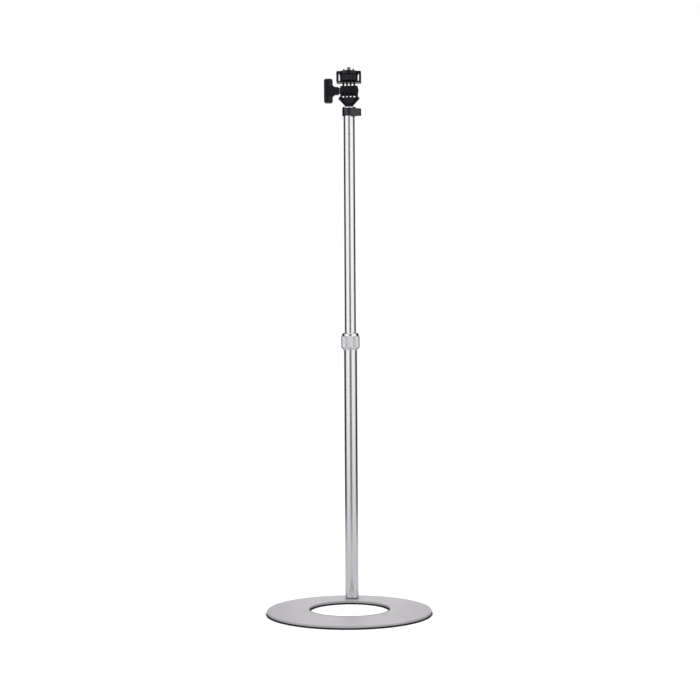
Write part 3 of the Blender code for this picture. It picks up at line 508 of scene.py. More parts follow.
def make_groups():
    """The effects that the finishes share."""
    # Fine moulded or sprayed grain: its height, and a slow mottling for colour and gloss
    group, enter = new_group("surface_grain", {
        "Grain per metre": 2500.0, "Mottle per metre": 60.0}, ("Height", "Pattern"))
    fine = noise(group, enter["Vector"], enter["Grain per metre"], detail=3.0, roughness=0.6)
    slow = noise(group, enter["Vector"], enter["Mottle per metre"], detail=3.0)
    add_node(group, "NodeGroupOutput", {"Height": ramp_between(group, fine, 0.30, 0.70),
                                        "Pattern": ramp_between(group, slow, 0.32, 0.68)})

    # Rubbed edges, and on black plastic a painted edge highlight: the marked edges, broken up by a noise
    group, enter = new_group("edge_wear_and_highlight", {"Amount": 0.5, "Patches per metre": 120.0}, ("Mask",))
    mark = Term(group, add_node(group, "ShaderNodeAttribute", attribute_name="edge").outputs["Fac"])
    patches = noise(group, enter["Vector"], enter["Patches per metre"], detail=4.0, roughness=0.65)
    add_node(group, "NodeGroupOutput", {
        "Mask": mark * ramp_between(group, patches, 0.42, 0.62) * enter["Amount"]})

    # Fine parallel tool lines, from noises squeezed by the Stretch vector: height and streaks
    group, enter = new_group("tool_lines", {"Stretch": (0.0, 0.0, 0.0)}, ("Height", "Pattern"))
    squeezed = add_node(group, "ShaderNodeVectorMath", {0: enter["Vector"], 1: enter["Stretch"]},
                        operation="MULTIPLY")
    add_node(group, "NodeGroupOutput", {
        "Height": noise(group, squeezed, 1.0, detail=4.0, roughness=0.7),
        "Pattern": ramp_between(group, noise(group, squeezed, 0.23), 0.3, 0.7)})


class Finish:
    """A Principled material on Object coordinates, with the shared effects wired in."""

    made = {}

    def __init__(self, name, color, roughness, metallic=0.0, specular=0.5):
        material = bpy.data.materials.new(name)
        material.use_nodes = True
        self.made[name] = material
        self.tree = material.node_tree
        self.color, self.roughness = (*color, 1.0), roughness
        self.shader = fill(self.tree, self.tree.nodes["Principled BSDF"], {
            "Base Color": self.color, "Roughness": roughness, "Metallic": metallic,
            "Specular IOR Level": specular}).inputs
        self.vector = add_node(self.tree, "ShaderNodeTexCoord").outputs["Object"]

    def group(self, shared, values):
        """One of the shared effects, with these input values."""
        return add_node(self.tree, "ShaderNodeGroup", {"Vector": self.vector, **values},
                        node_tree=bpy.data.node_groups[shared])

    def tint(self, mask, color):
        """Mix the colour so far with another one, by the mask."""
        self.color = blend(self.tree, self.color, (*color, 1.0), mask)
        feed(self.tree, self.color, self.shader["Base Color"])

    def raise_by(self, height, strength, depth):
        """Raise the surface by the height, with a bump of this depth in metres."""
        bump = add_node(self.tree, "ShaderNodeBump", {
            "Strength": strength, "Distance": depth, "Height": height})
        feed(self.tree, bump, self.shader["Normal"])

    def texture(self, shared, values, gloss=None, stain=None, relief=None):
        """Lay a shared pattern over the gloss, the colour (share, colour) and the height."""
        node = self.group(shared, values)
        pattern = Term(self.tree, node.outputs["Pattern"])
        if gloss:
            self.roughness = pattern * gloss + self.roughness
            feed(self.tree, self.roughness, self.shader["Roughness"])
        if stain:
            self.tint(pattern * stain[0], stain[1])
        if relief:
            self.raise_by(node.outputs["Height"], *relief)

    def grained(self, grain, mottle, **look):
        self.texture("surface_grain", {"Grain per metre": grain, "Mottle per metre": mottle}, **look)

    def lined(self, x, y, z, **look):
        self.texture("tool_lines", {"Stretch": (x, y, z)}, **look)

    def rub_and_highlight_edges(self, amount, color, patches=120.0):
        """Tint the marked edges to another colour: rubbed wear, and on black plastic a painted highlight.
        """
        mask = self.group("edge_wear_and_highlight", {"Amount": amount, "Patches per metre": patches})
        self.tint(mask.outputs["Mask"], color)


def make_finishes():
    """Every finish's material by its name, which for most is the slot in the record."""
    make_groups()

    paint = Finish("silver_paint", (0.51, 0.488, 0.513), 0.40, metallic=0.45)
    paint.grained(3200.0, 35.0, gloss=0.05,
                  stain=(0.35, (0.535, 0.513, 0.538)), relief=(0.25, 0.00004))
    flakes = paint.group("surface_grain", {"Grain per metre": 7000.0, "Mottle per metre": 900.0})
    paint.tint(Term(paint.tree, flakes.outputs["Height"]) * 0.30, (0.62, 0.60, 0.625))
    paint.rub_and_highlight_edges(0.35, (0.66, 0.65, 0.66))

    tube = Finish("bright_tube", (0.94, 0.94, 0.965), 0.17, metallic=1.0)
    tube.lined(2600.0, 2600.0, 9.0, gloss=0.03,
                 stain=(0.3, (0.88, 0.88, 0.91)), relief=(0.03, 0.00001))
    tube.grained(900.0, 28.0, gloss=0.03)

    alloy = Finish("turned_alloy", (0.90, 0.90, 0.93), 0.25, metallic=0.65)
    alloy.lined(40.0, 40.0, 5200.0, gloss=0.08,
                  stain=(0.4, (0.77, 0.76, 0.79)), relief=(0.18, 0.00003))

    knurled = Finish("knurled_alloy", (0.93, 0.92, 0.94), 0.20, metallic=1.0)
    knurled.lined(700.0, 700.0, 2400.0, gloss=0.07, relief=(0.08, 0.00002))
    knurled.rub_and_highlight_edges(0.5, (0.96, 0.95, 0.97), patches=300.0)

    for name, roughness, specular in (("black_plastic", 0.30, 0.45), ("clip_plastic", 0.22, 0.80)):
        plastic = Finish(name, (0.0046, 0.0040, 0.0060), roughness, specular=specular)
        plastic.shader["Specular Tint"].default_value = (0.90, 0.85, 1.0, 1.0)
        plastic.grained(2600.0, 90.0, gloss=0.06,
                        stain=(0.5, (0.0076, 0.0066, 0.0096)), relief=(0.05, 0.00002))
        # lighter convex edges on the black plastics: partly rubbed wear, partly a painted highlight
        plastic.rub_and_highlight_edges(0.40, (0.022, 0.020, 0.022), patches=260.0)

    for name, tone, mottle in (("black_rubber", (0.022, 0.022, 0.022), (0.034, 0.033, 0.032)),
                               ("foot_rubber", (0.185, 0.181, 0.186), (0.215, 0.210, 0.214))):
        rubber = Finish(name, tone, 0.74, specular=0.35)
        rubber.grained(1800.0, 160.0, stain=(0.6, mottle), relief=(0.35, 0.00006))

    foam = Finish("black_foam", (0.016, 0.016, 0.018), 0.88, specular=0.25)
    pores = add_node(foam.tree, "ShaderNodeTexVoronoi", {"Vector": foam.vector, "Scale": 2200.0})
    cells = ramp_between(foam.tree, pores.outputs["Distance"], 0.15, 0.75)
    foam.tint(cells, (0.030, 0.030, 0.033))
    foam.raise_by(cells, 0.7, 0.00015)

    steel = Finish("screw_steel", (0.46, 0.425, 0.40), 0.28, metallic=1.0)
    steel.lined(90.0, 90.0, 3800.0, gloss=0.12, relief=(0.15, 0.00003))
    steel.rub_and_highlight_edges(0.7, (0.62, 0.58, 0.55), patches=500.0)

    oxide = Finish("black_steel", (0.045, 0.044, 0.047), 0.36, metallic=0.85)
    oxide.grained(3000.0, 220.0, gloss=0.10, relief=(0.15, 0.00003))
    oxide.rub_and_highlight_edges(0.6, (0.24, 0.23, 0.225), patches=420.0)

    # the knob insert's brass is darkened all over: painted shade for its place in the gap between knob
    # and head
    for name, bright, dull in (("brass", (0.62, 0.45, 0.20), (0.44, 0.30, 0.13)),
                               ("shaded_brass", (0.13, 0.105, 0.07), (0.08, 0.065, 0.045))):
        brass = Finish(name, bright, 0.26, metallic=1.0)
        brass.lined(4200.0, 60.0, 60.0, gloss=0.12, relief=(0.15, 0.00003))
        brass.grained(1500.0, 180.0, stain=(0.5, dull))

    nylon = Finish("nylon", (0.60, 0.59, 0.54), 0.46)
    nylon.grained(1400.0, 120.0, stain=(0.5, (0.53, 0.52, 0.47)),
                  relief=(0.15, 0.00004))
    return Finish.made


# Geometry trees

def new_tree(name, inputs):
    """A geometry tree with a mesh in and out, a finish and these inputs, which come as terms."""
    tree = bpy.data.node_groups.new(name, "GeometryNodeTree")
    tree.interface.new_socket("Geometry", in_out="INPUT", socket_type="NodeSocketGeometry")
    add_inputs(tree, inputs)
    tree.interface.new_socket("Finish", in_out="INPUT", socket_type="NodeSocketMaterial")
    tree.interface.new_socket("Geometry", in_out="OUTPUT", socket_type="NodeSocketGeometry")
    enter = tree.nodes.new("NodeGroupInput").outputs
    return tree, enter, [Term(tree, enter[name]) for name in inputs]


def end_tree(tree, enter, geometry):
    """Realize the instances, set the finish and end the tree."""
    real = add_node(tree, "GeometryNodeRealizeInstances", {"Geometry": geometry})
    coat = add_node(tree, "GeometryNodeSetMaterial", {"Geometry": real, "Material": enter["Finish"]})
    add_node(tree, "NodeGroupOutput", {"Geometry": coat})
    return tree


def grown(name, tree, values, piece=None):
    """The tree's result with these input values, on a piece that it uses up, as a plain piece."""
    holder = shown(piece.data if piece else bpy.data.meshes.new(name), name)
    step = holder.modifiers.new(name, "NODES")
    step.node_group = tree
    for item in tree.interface.items_tree:
        if item.item_type == "SOCKET" and item.in_out == "INPUT" and item.name in values:
            step[item.identifier] = values[item.name]
    graph = bpy.context.evaluated_depsgraph_get()
    mesh = bpy.data.meshes.new_from_object(holder.evaluated_get(graph))
    holder.modifiers.clear()
    holder.data = mesh
    if piece:
        bpy.data.objects.remove(piece)
    return holder


def vector_of(tree, x=0.0, y=0.0, z=0.0):
    """A vector from numbers or terms."""
    return add_node(tree, "ShaderNodeCombineXYZ", {0: x, 1: y, 2: z})


def knurl_tree():
    """Diamond knurl: flat-topped pyramids in staggered rows round a band about Z."""
    tree, enter, (radius, foot, columns, rows, rise, depth) = new_tree("diamond_knurl", {
        "Root radius": 0.015, "Foot": 0.0, "Columns": 50, "Rows": 20, "Row rise": 0.001,
        "Depth": 0.0004})
    points = add_node(tree, "GeometryNodePoints", {"Count": columns * rows})
    index = Term(tree, add_node(tree, "GeometryNodeInputIndex").outputs[0])
    row = (index / columns).math("FLOOR")
    pitch = math.tau / columns
    angle = (index - row * columns + row.math("MODULO", 2.0) * 0.5) * pitch
    place = vector_of(tree, angle.math("COSINE") * radius, angle.math("SINE") * radius,
                      row * rise + foot)
    settle = add_node(tree, "GeometryNodeSetPosition", {"Geometry": points, "Position": place})
    cell = add_node(tree, "GeometryNodeMeshCone", {
        "Vertices": 4, "Radius Bottom": rise, "Radius Top": rise * KNURL_FLAT, "Depth": depth})
    spread = add_node(tree, "GeometryNodeInstanceOnPoints", {
        "Points": settle, "Instance": cell, "Rotation": vector_of(tree, 0.0, math.pi / 2, angle),
        "Scale": vector_of(tree, 1.0, radius * pitch / (rise * 2.0), 1.0)})
    return end_tree(tree, enter, spread)


def thread_tree():
    """Screw thread: a tapered ridge that climbs a spiral about Z."""
    tree, enter, (radius, foot, pitch, turns, depth) = new_tree("screw_thread", {
        "Root radius": 0.0026, "Foot": 0.0, "Pitch": 0.00127, "Turns": 6.0, "Depth": 0.0005})
    spiral = add_node(tree, "GeometryNodeCurveSpiral", {
        "Resolution": 40, "Rotations": turns, "Start Radius": radius, "End Radius": radius,
        "Height": pitch * turns})
    upright = add_node(tree, "GeometryNodeSetCurveNormal", {"Curve": spiral}, mode="Z_UP")
    ridge = add_node(tree, "GeometryNodeCurvePrimitiveQuadrilateral", {
        "Bottom Width": pitch * RIDGE_FOOT, "Top Width": pitch * RIDGE_CREST, "Height": depth * 2.0,
        "Offset": 0.0}, mode="TRAPEZOID")
    sweep = add_node(tree, "GeometryNodeCurveToMesh", {
        "Curve": upright, "Profile Curve": ridge, "Fill Caps": True})
    lift = add_node(tree, "GeometryNodeTransform", {
        "Geometry": sweep, "Translation": vector_of(tree, z=foot)})
    return end_tree(tree, enter, lift)


def finger_tree():
    """One hinge finger repeated along X."""
    tree, enter, (count, first, pitch) = new_tree("hinge_fingers", {
        "Count": 3, "First": 0.0, "Pitch": 0.006})
    row = add_node(tree, "GeometryNodeMeshLine", {
        "Count": count, "Start Location": vector_of(tree, first), "Offset": vector_of(tree, pitch)})
    spread = add_node(tree, "GeometryNodeInstanceOnPoints", {
        "Points": row, "Instance": enter["Geometry"]})
    return end_tree(tree, enter, spread)


def flute_tree():
    """Round-bottomed upright flutes pressed into the rim of a drum about Z."""
    tree, enter, (radius, count, half_width, depth) = new_tree("rim_flutes", {
        "Radius": 0.015, "Count": 30, "Half width": 0.25, "Depth": 0.0004})
    split = add_node(tree, "ShaderNodeSeparateXYZ", {0: add_node(tree, "GeometryNodeInputPosition")})
    x, y = (Term(tree, split.outputs[axis]) for axis in "XY")
    reach = (x * x + y * y).math("SQRT")
    turns = y.math("ARCTAN2", x) / math.tau * count
    off = (turns.math("FRACT") - 0.5) / half_width
    bowl = (1.0 - off * off).math("MAXIMUM", 0.0)
    rim = ramp_between(tree, reach, radius * FLUTE_STARTS, radius * FLUTE_FULL, "LINEAR")
    share = bowl * rim * depth / reach
    settle = add_node(tree, "GeometryNodeSetPosition", {
        "Geometry": enter["Geometry"],
        "Offset": vector_of(tree, x * share * -1.0, y * share * -1.0)})
    return end_tree(tree, enter, settle)


# The stand

class Stand:
    """The finishes, and the places that pieces share, worked out from the frame."""

    def __init__(self):
        low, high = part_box("lower_tube")
        self.mast_y = (low.y + high.y) / 2
        low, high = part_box("tee_knob")
        self.hinge_z = (low.z + high.z) / 2
        self.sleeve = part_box("upper_tube")[1].x + SLIP
        self.finishes = make_finishes()

    def dress(self, piece, node, body, slot, y=None, z=0.0, finish=None):
        """Set a piece at its height on the mast, with its finish, body and the node it stands for."""
        moved(piece.data, y=self.mast_y if y is None else y, z=z)
        piece.data.materials.clear()
        piece.data.materials.append(self.finishes[finish or slot])
        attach(piece, body)
        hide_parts(node)


# Base pieces

def ring_plate(name, outer, inner, low, high, edge, steps):
    """Flat ring with an off-centre hole and rounded edges, from circles bridged in a loop."""
    bm = bmesh.new()
    loops = []
    for radius, middle, side in ((outer, 0.0, -1.0), (inner, HOLE_SHIFT, 1.0)):
        for height, rise in ((low, 1.0), (high, -1.0)):
            turns = arc(0.0, 90.0, steps)
            for cosine, sine in turns if (rise > 0) == (side < 0) else reversed(turns):
                level = height + rise * edge * (1.0 - cosine)
                circle = bmesh.ops.create_circle(
                    bm, cap_ends=False, segments=RING_STEPS, radius=radius + side * edge * (1.0 - sine),
                    matrix=Matrix.Translation((0.0, middle, level)))
                loops.append(list({e for v in circle["verts"] for e in v.link_edges}))
    half = len(loops) // 2
    order = loops[:half] + loops[half:][::-1]
    for first, second in zip(order, order[1:] + order[:1]):
        bmesh.ops.bridge_loops(bm, edges=first + second)
    return shown(settled(bm, name))


def make_base(stand):
    low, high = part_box("base_plate")
    plate = ring_plate("silver_ring", high.x, HOLE_RADIUS, low.z, high.z, PLATE_EDGE, 4)
    sink = lathe("countersink", [
        (0.0, low.z - SLIP), (SINK_HEAD, low.z - SLIP), (SINK_HEAD, low.z),
        (SINK_SHANK, low.z + SINK_HEAD - SINK_SHANK), (SINK_SHANK, high.z + SLIP),
        (0.0, high.z + SLIP)], SMALL_STEPS)
    combine(plate, moved(sink, y=stand.mast_y))
    stand.dress(made_plain(plate), "base_plate", "base", "silver_paint", y=0.0)

    low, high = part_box("base_pad")
    pad = ring_plate("foam_ring", high.x, HOLE_RADIUS + PAD_INSET, low.z, high.z, PAD_EDGE, 3)
    hole = lathe("pad_hole", box_outline(0.0, PAD_ACCESS, low.z - SLIP, high.z + SLIP), SMALL_STEPS)
    combine(pad, moved(hole, y=stand.mast_y))
    stand.dress(made_plain(pad), "base_pad", "base", "black_foam", y=0.0)

    low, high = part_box("foot_gasket")
    outline = box_outline(GASKET_BORE, high.x, low.z, high.z, (0.0, HAIR, HAIR, 0.0), 3)
    stand.dress(turned("foot_seal", outline), "foot_gasket", "base", "black_rubber", finish="foot_rubber")


# Mast pieces

def make_tubes(stand):
    lips = (TUBE_LIP / 2, TUBE_LIP, TUBE_LIP, TUBE_LIP / 2)
    for name, node, body in (("lower_mast", "lower_tube", "base"), ("upper_mast", "upper_tube", "mast")):
        low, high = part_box(node)
        tube = turned(name, box_outline(high.x - TUBE_WALL, high.x, low.z, high.z, lips, 4),
                      TUBE_STEPS)
        stand.dress(tube, node, body, "bright_tube")


def make_lock_nut(stand):
    """Collar with a shoulder that rounds in to the upper tube, and a knurled band."""
    low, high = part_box("lock_nut")
    sleeve = stand.sleeve
    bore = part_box("lower_tube")[1].x + SLIP
    root = high.x - KNURL_DEPTH
    plain = high.x - NUT_STEP
    foot = low.z + NUT_FOOT
    top = high.z - NUT_SHOULDER
    step = NUT_STEP / 3
    shoulder_low = high.z - NUT_SHOULDER * NUT_CURVE_SHARE
    brow = sleeve + TUBE_LIP
    shoulder = bow(0.0, 90.0, 12, (brow, shoulder_low), plain - brow, high.z - shoulder_low)
    body = turned("nut_body", eased([
        (bore, low.z, CRISP), (bore + LIGHT, low.z), (plain, foot - NUT_STEP / 2, NUT_FOOT_ROUND),
        (plain, foot), (root, foot + step, HAIR), (root, top - step, HAIR),
        (plain, top)] + shoulder + [
        (sleeve, high.z), (sleeve, top), (sleeve + NUT_CAVITY, top),
        (sleeve + NUT_CAVITY, low.z + NUT_FLOOR), (bore, low.z + NUT_FLOOR)]), TUBE_STEPS)
    band = top - foot - 2 * step
    rows = int(band / (math.pi * root / KNURL_COLUMNS)) - 1
    row_rise = band / (rows + 1)
    knurl = grown("nut_knurl", knurl_tree(), {
        "Root radius": root + KNURL_DEPTH * KNURL_LIFT, "Foot": foot + step + row_rise,
        "Columns": KNURL_COLUMNS, "Rows": rows, "Row rise": row_rise,
        "Depth": KNURL_DEPTH * (1.0 - KNURL_LIFT), "Finish": stand.finishes["knurled_alloy"]})
    mark_edges(knurl.data)
    stand.dress(joined("twist_nut", [body, knurl]), "lock_nut", "lock", "knurled_alloy")


def make_cap(stand):
    low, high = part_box("tube_cap")
    tube_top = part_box("upper_tube")[1]
    foot = tube_top.z + SLIP
    radius = tube_top.x
    spigot = radius - TUBE_WALL - SLIP
    dome = bow(0.0, 90.0, 10, (CAP_TOP_RADIUS, foot), radius - CAP_TOP_RADIUS, high.z - foot)
    outline = [(CAP_BORE, low.z), (spigot, low.z), (spigot, foot), *dome, (CAP_BORE, high.z)]
    stand.dress(turned("mast_cap", outline, TUBE_STEPS), "tube_cap", "mast", "turned_alloy")


def wedge(name, middle_deg, width_deg, reach, low, high):
    """Wedge from the Z axis outwards, about the direction middle_deg round from +X."""
    spread = bow(middle_deg - width_deg / 2, middle_deg + width_deg / 2, 2, (0.0, 0.0), reach, reach)
    return prism(name, [(0.0, 0.0)] + spread, low, high)


def make_clip(stand):
    """Snap-on ring, lower at its front, with a mouth at the rear and a cable hook at the right."""
    low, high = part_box("cable_clip")
    sleeve = stand.sleeve
    outer = sleeve + CLIP_WALL
    foot = low.z + HOOK_FOOT_DROP
    front_top = high.z - CLIP_EAR_RISE
    ring = shown(lathe("cord_clip", eased([
        (sleeve, foot, HAIR), (outer - CLIP_FOOT_EDGE, foot, LIGHT),
        (outer, foot + CLIP_FOOT_RISE, CLIP_FOOT_ROUND), (outer, high.z, CLIP_TOP_EDGE),
        (sleeve, high.z, HAIR)])))
    combine(ring, wedge("clip_mouth", CLIP_MOUTH_AT_DEG, CLIP_MOUTH_DEG, 2 * outer, foot - SLIP,
                        high.z + SLIP))
    combine(ring, wedge("clip_dip", -90.0, CLIP_DIP_DEG, 2 * outer, front_top, high.z + SLIP))
    ease_edges(ring, MOULD_EDGE)
    made_plain(ring)

    leaves = math.radians(HOOK_LEAVES_DEG)
    facing = Vector((math.sin(leaves), -math.cos(leaves)))
    side = Vector((-facing.y, facing.x))
    bend_x = high.x - HOOK_RADIUS
    bend = Vector((bend_x, (facing.x * bend_x - (outer - HOOK_RADIUS)) / -facing.y))
    root = math.sqrt(outer ** 2 - (outer - HOOK_WALL) ** 2) * HOOK_ROOT_SHARE
    outline = [facing * (sleeve + CLIP_WALL / 2), facing * outer + side * CLIP_WALL / 3]
    ends = HOOK_LEAVES_DEG - 90.0, HOOK_END_DEG - 90.0
    outline += bow(*ends, 28, bend, HOOK_RADIUS, HOOK_RADIUS)
    outline += bow(*ends[::-1], 28, bend, HOOK_RADIUS - HOOK_WALL, HOOK_RADIUS - HOOK_WALL)
    outline.append(facing * (outer - HOOK_WALL) + side * root)
    hook = shown(prism("clip_hook", outline, low.z, front_top - HOOK_TOP_TRIM))
    front = HOOK_WALL - outer
    rear = 2 * outer
    underside = [(front, low.z), (rear, low.z + HOOK_FOOT_SLOPE * (rear - front)),
                 (rear, low.z - SLIP), (front, low.z - SLIP)]
    combine(hook, prism("hook_underside", underside, outer + SLIP, 2 * high.x, "X"))
    ease_edges(hook, THICK_MOULD_EDGE)
    clip = joined("cord_clip", [ring, made_plain(hook)])
    stand.dress(clip, "cable_clip", "clip", "black_plastic", finish="clip_plastic")


# Head pieces

def finger(name, root, low, high):
    """Round-nosed tab about the hinge's axis, between two places along X, from height root."""
    side = 1.0 if root > 0.0 else -1.0
    nose = bow(0.0, 180.0, 32, (0.0, 0.0), FINGER_RADIUS, -side * FINGER_RADIUS)
    outline = nose + [(-FINGER_RADIUS, root), (FINGER_RADIUS, root)]
    piece = shown(prism(name, outline, low, high, "X"))
    ease_edges(piece, MOULD_EDGE)
    return piece


def finger_row(stand, name, root, half_thick, count):
    """Equal fingers side by side, the row's middle on the mast."""
    one = made_plain(finger(name, root, -half_thick, half_thick))
    return grown(name, finger_tree(), {
        "Count": count, "First": -FINGER_PITCH * (count - 1) / 2, "Pitch": FINGER_PITCH,
        "Finish": stand.finishes["black_plastic"]}, one)


def make_head(stand):
    """Inverted cone with slots in its rim, three inner fingers and two cheeks."""
    low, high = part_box("head_base")
    hinge = stand.hinge_z - low.z
    radius = high.y - stand.mast_y
    rim_foot = CONE_HEIGHT + RIM_HEIGHT
    rim_top = rim_foot + RIM_EDGE
    cone = shown(lathe("head_cone", eased([
        (0.0, INSERT_DEPTH), (INSERT_SOCKET, INSERT_DEPTH), (INSERT_SOCKET, 0.0, CRISP),
        (CONE_FOOT_RADIUS, 0.0, LIGHT), (CONE_FOOT_RADIUS, CONE_NECK, CONE_NECK_ROUND),
        (radius, CONE_HEIGHT, FULL), (radius, rim_foot, SOFT), (radius - RIM_EDGE, rim_top, SOFT),
        (0.0, rim_top)], 4), TUBE_STEPS))
    slot_half = FINGER_THICK / 2 + FINGER_GAP
    for number in range(4):
        place = FINGER_PITCH * (number - 1.5)
        slot = box_outline(place - slot_half, place + slot_half, rim_top - SLOT_DEPTH, hinge,
                           (FULL, FULL, 0.0, 0.0), 4)
        combine(cone, prism(f"rim_slot_{number}", slot, -2 * radius, 2 * radius, "Y"))
    ease_edges(cone, MOULD_EDGE / 2, segments=2)
    made_plain(cone)

    root = CONE_HEIGHT + RIM_HEIGHT / 2 - hinge
    gap_edge = FINGER_PITCH * 1.5 + slot_half
    comb = finger_row(stand, "inner_fingers", root, FINGER_PITCH / 2 - slot_half, 3)
    left = made_plain(finger("left_cheek", root, -LEFT_CHEEK, -gap_edge))
    right = finger("right_cheek", root, gap_edge, RIGHT_CHEEK)
    boss = box_outline(0.0, BOSS_RADIUS, RIGHT_CHEEK - FINGER_THICK, RIGHT_CHEEK + SLIP,
                        (0.0, 0.0, CRISP, 0.0), 3)
    combine(right, lathe("right_boss", boss, SMALL_STEPS, "X"), "UNION")
    recess = box_outline(0.0, BOLT_HEAD_RADIUS + SLIP, RIGHT_CHEEK - BOLT_HEAD_HEIGHT, 2 * RIGHT_CHEEK)
    combine(right, lathe("bolt_recess", recess, SMALL_STEPS, "X"))
    made_plain(right)
    for piece in (comb, left, right):
        moved(piece.data, z=hinge)
    base = joined("hinge_base", [cone, comb, left, right])
    stand.dress(base, "head_base", "head", "black_plastic", z=low.z)


def make_hinge_bolt(stand):
    low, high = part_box("hinge_bolt")
    seat = high.x - BOLT_HEAD_HEIGHT - BOLT_DOME
    dome_foot = seat + BOLT_HEAD_HEIGHT - BOLT_DOME / 2
    dome = bow(0.0, 90.0, 10, (0.0, dome_foot), BOLT_HEAD_RADIUS, high.x - dome_foot)
    bolt = turned("carriage_bolt", [
        (0.0, low.x), (BOLT_RADIUS - TUBE_LIP, low.x), (BOLT_RADIUS, low.x + TUBE_LIP),
        (BOLT_RADIUS, seat), (BOLT_HEAD_RADIUS, seat)] + dome, SMALL_STEPS, "X")
    square = box_outline(-BOLT_NECK, BOLT_NECK, -BOLT_NECK, BOLT_NECK, SOFT)
    neck = shown(prism("square_neck", square, seat - BOLT_NECK_LENGTH, seat + BOLT_DOME, "X"))
    bolt = joined("carriage_bolt", [bolt, made_plain(neck)])
    stand.dress(bolt, "hinge_bolt", "head", "black_steel", z=stand.hinge_z)

    low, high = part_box("hinge_washer")
    outline = box_outline(BOLT_RADIUS + SLIP, high.z - stand.hinge_z, low.x, high.x,
                          (HAIR, LIGHT, HAIR, HAIR), 4)
    washer = turned("knob_washer", outline, SMALL_STEPS, "X")
    stand.dress(washer, "hinge_washer", "head", "screw_steel", z=stand.hinge_z)


def make_tee_knob(stand):
    """Tee knob: a bar with finger scoops, and a round stem that flares into it."""
    low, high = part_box("tee_knob")
    span = high.z - stand.hinge_z
    half_thick = high.y - stand.mast_y
    outer = low.x
    inner = outer + TEE_DEPTH
    bar = box_outline(outer, inner, -span, span, TEE_CORNER, 14)
    knob = shown(prism("clamp_knob", bar, -half_thick, half_thick, "Y"))
    ease_edges(knob, TEE_EDGE, segments=6)
    root = inner - TEE_DEPTH / 4
    flare_radius = STEM_RADIUS + STEM_FILLET
    flare = bow(90.0, 0.0, 15, (flare_radius, inner + STEM_FILLET), -STEM_FILLET, -STEM_FILLET)
    stem = shown(lathe("knob_stem", [(0.0, root), (flare_radius, root)] + flare + [
        (STEM_RADIUS, high.x - STEM_NOSE), (STEM_RADIUS - STEM_NOSE, high.x), (0.0, high.x)],
        PART_STEPS, "X"))
    flat = half_thick - SLIP
    combine(stem, prism("stem_flats", box_outline(2 * outer, 0.0, -span, span), -flat, flat, "Y"),
            "INTERSECT")
    made_plain(stem)
    tool = stem.data.copy()
    bpy.data.objects.remove(stem)
    combine(knob, tool, "UNION")
    scoop_height = half_thick - SCOOP_DEPTH + SCOOP_RADIUS
    for number, (side, end) in enumerate(((-1, -1), (-1, 1), (1, -1), (1, 1))):
        bm = bmesh.new()
        bmesh.ops.create_uvsphere(bm, u_segments=128, v_segments=96, radius=SCOOP_RADIUS)
        scoop = settled(bm, f"finger_scoop_{number}")
        combine(knob, moved(scoop, (outer + inner) / 2, side * scoop_height, end * SCOOP_SPAN),
                "DIFFERENCE")
    hole = box_outline(0.0, KNOB_INSERT_RADIUS + SLIP, high.x - 2 * STEM_NOSE, high.x + STEM_NOSE)
    combine(knob, lathe("knob_bore", hole, SMALL_STEPS, "X"))
    ease_edges(knob, MOULD_EDGE / 2, segments=2, angle_deg=20.0)
    stand.dress(made_plain(knob), "tee_knob", "knob", "black_plastic", z=stand.hinge_z)

    low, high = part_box("knob_insert")
    radius = high.z - stand.hinge_z
    flange = high.x - KNOB_FLANGE_THICK
    bore = BOLT_RADIUS + SLIP
    insert = turned("knob_nut", eased([
        (bore, low.x), (KNOB_INSERT_RADIUS, low.x, LIGHT), (KNOB_INSERT_RADIUS, flange),
        (radius, flange, CRISP), (radius, high.x, CRISP), (bore, high.x, CRISP)], 4), SMALL_STEPS, "X")
    # brass darkened all over: painted shade for the gap between knob and head
    stand.dress(insert, "knob_insert", "knob", "brass", z=stand.hinge_z, finish="shaded_brass")


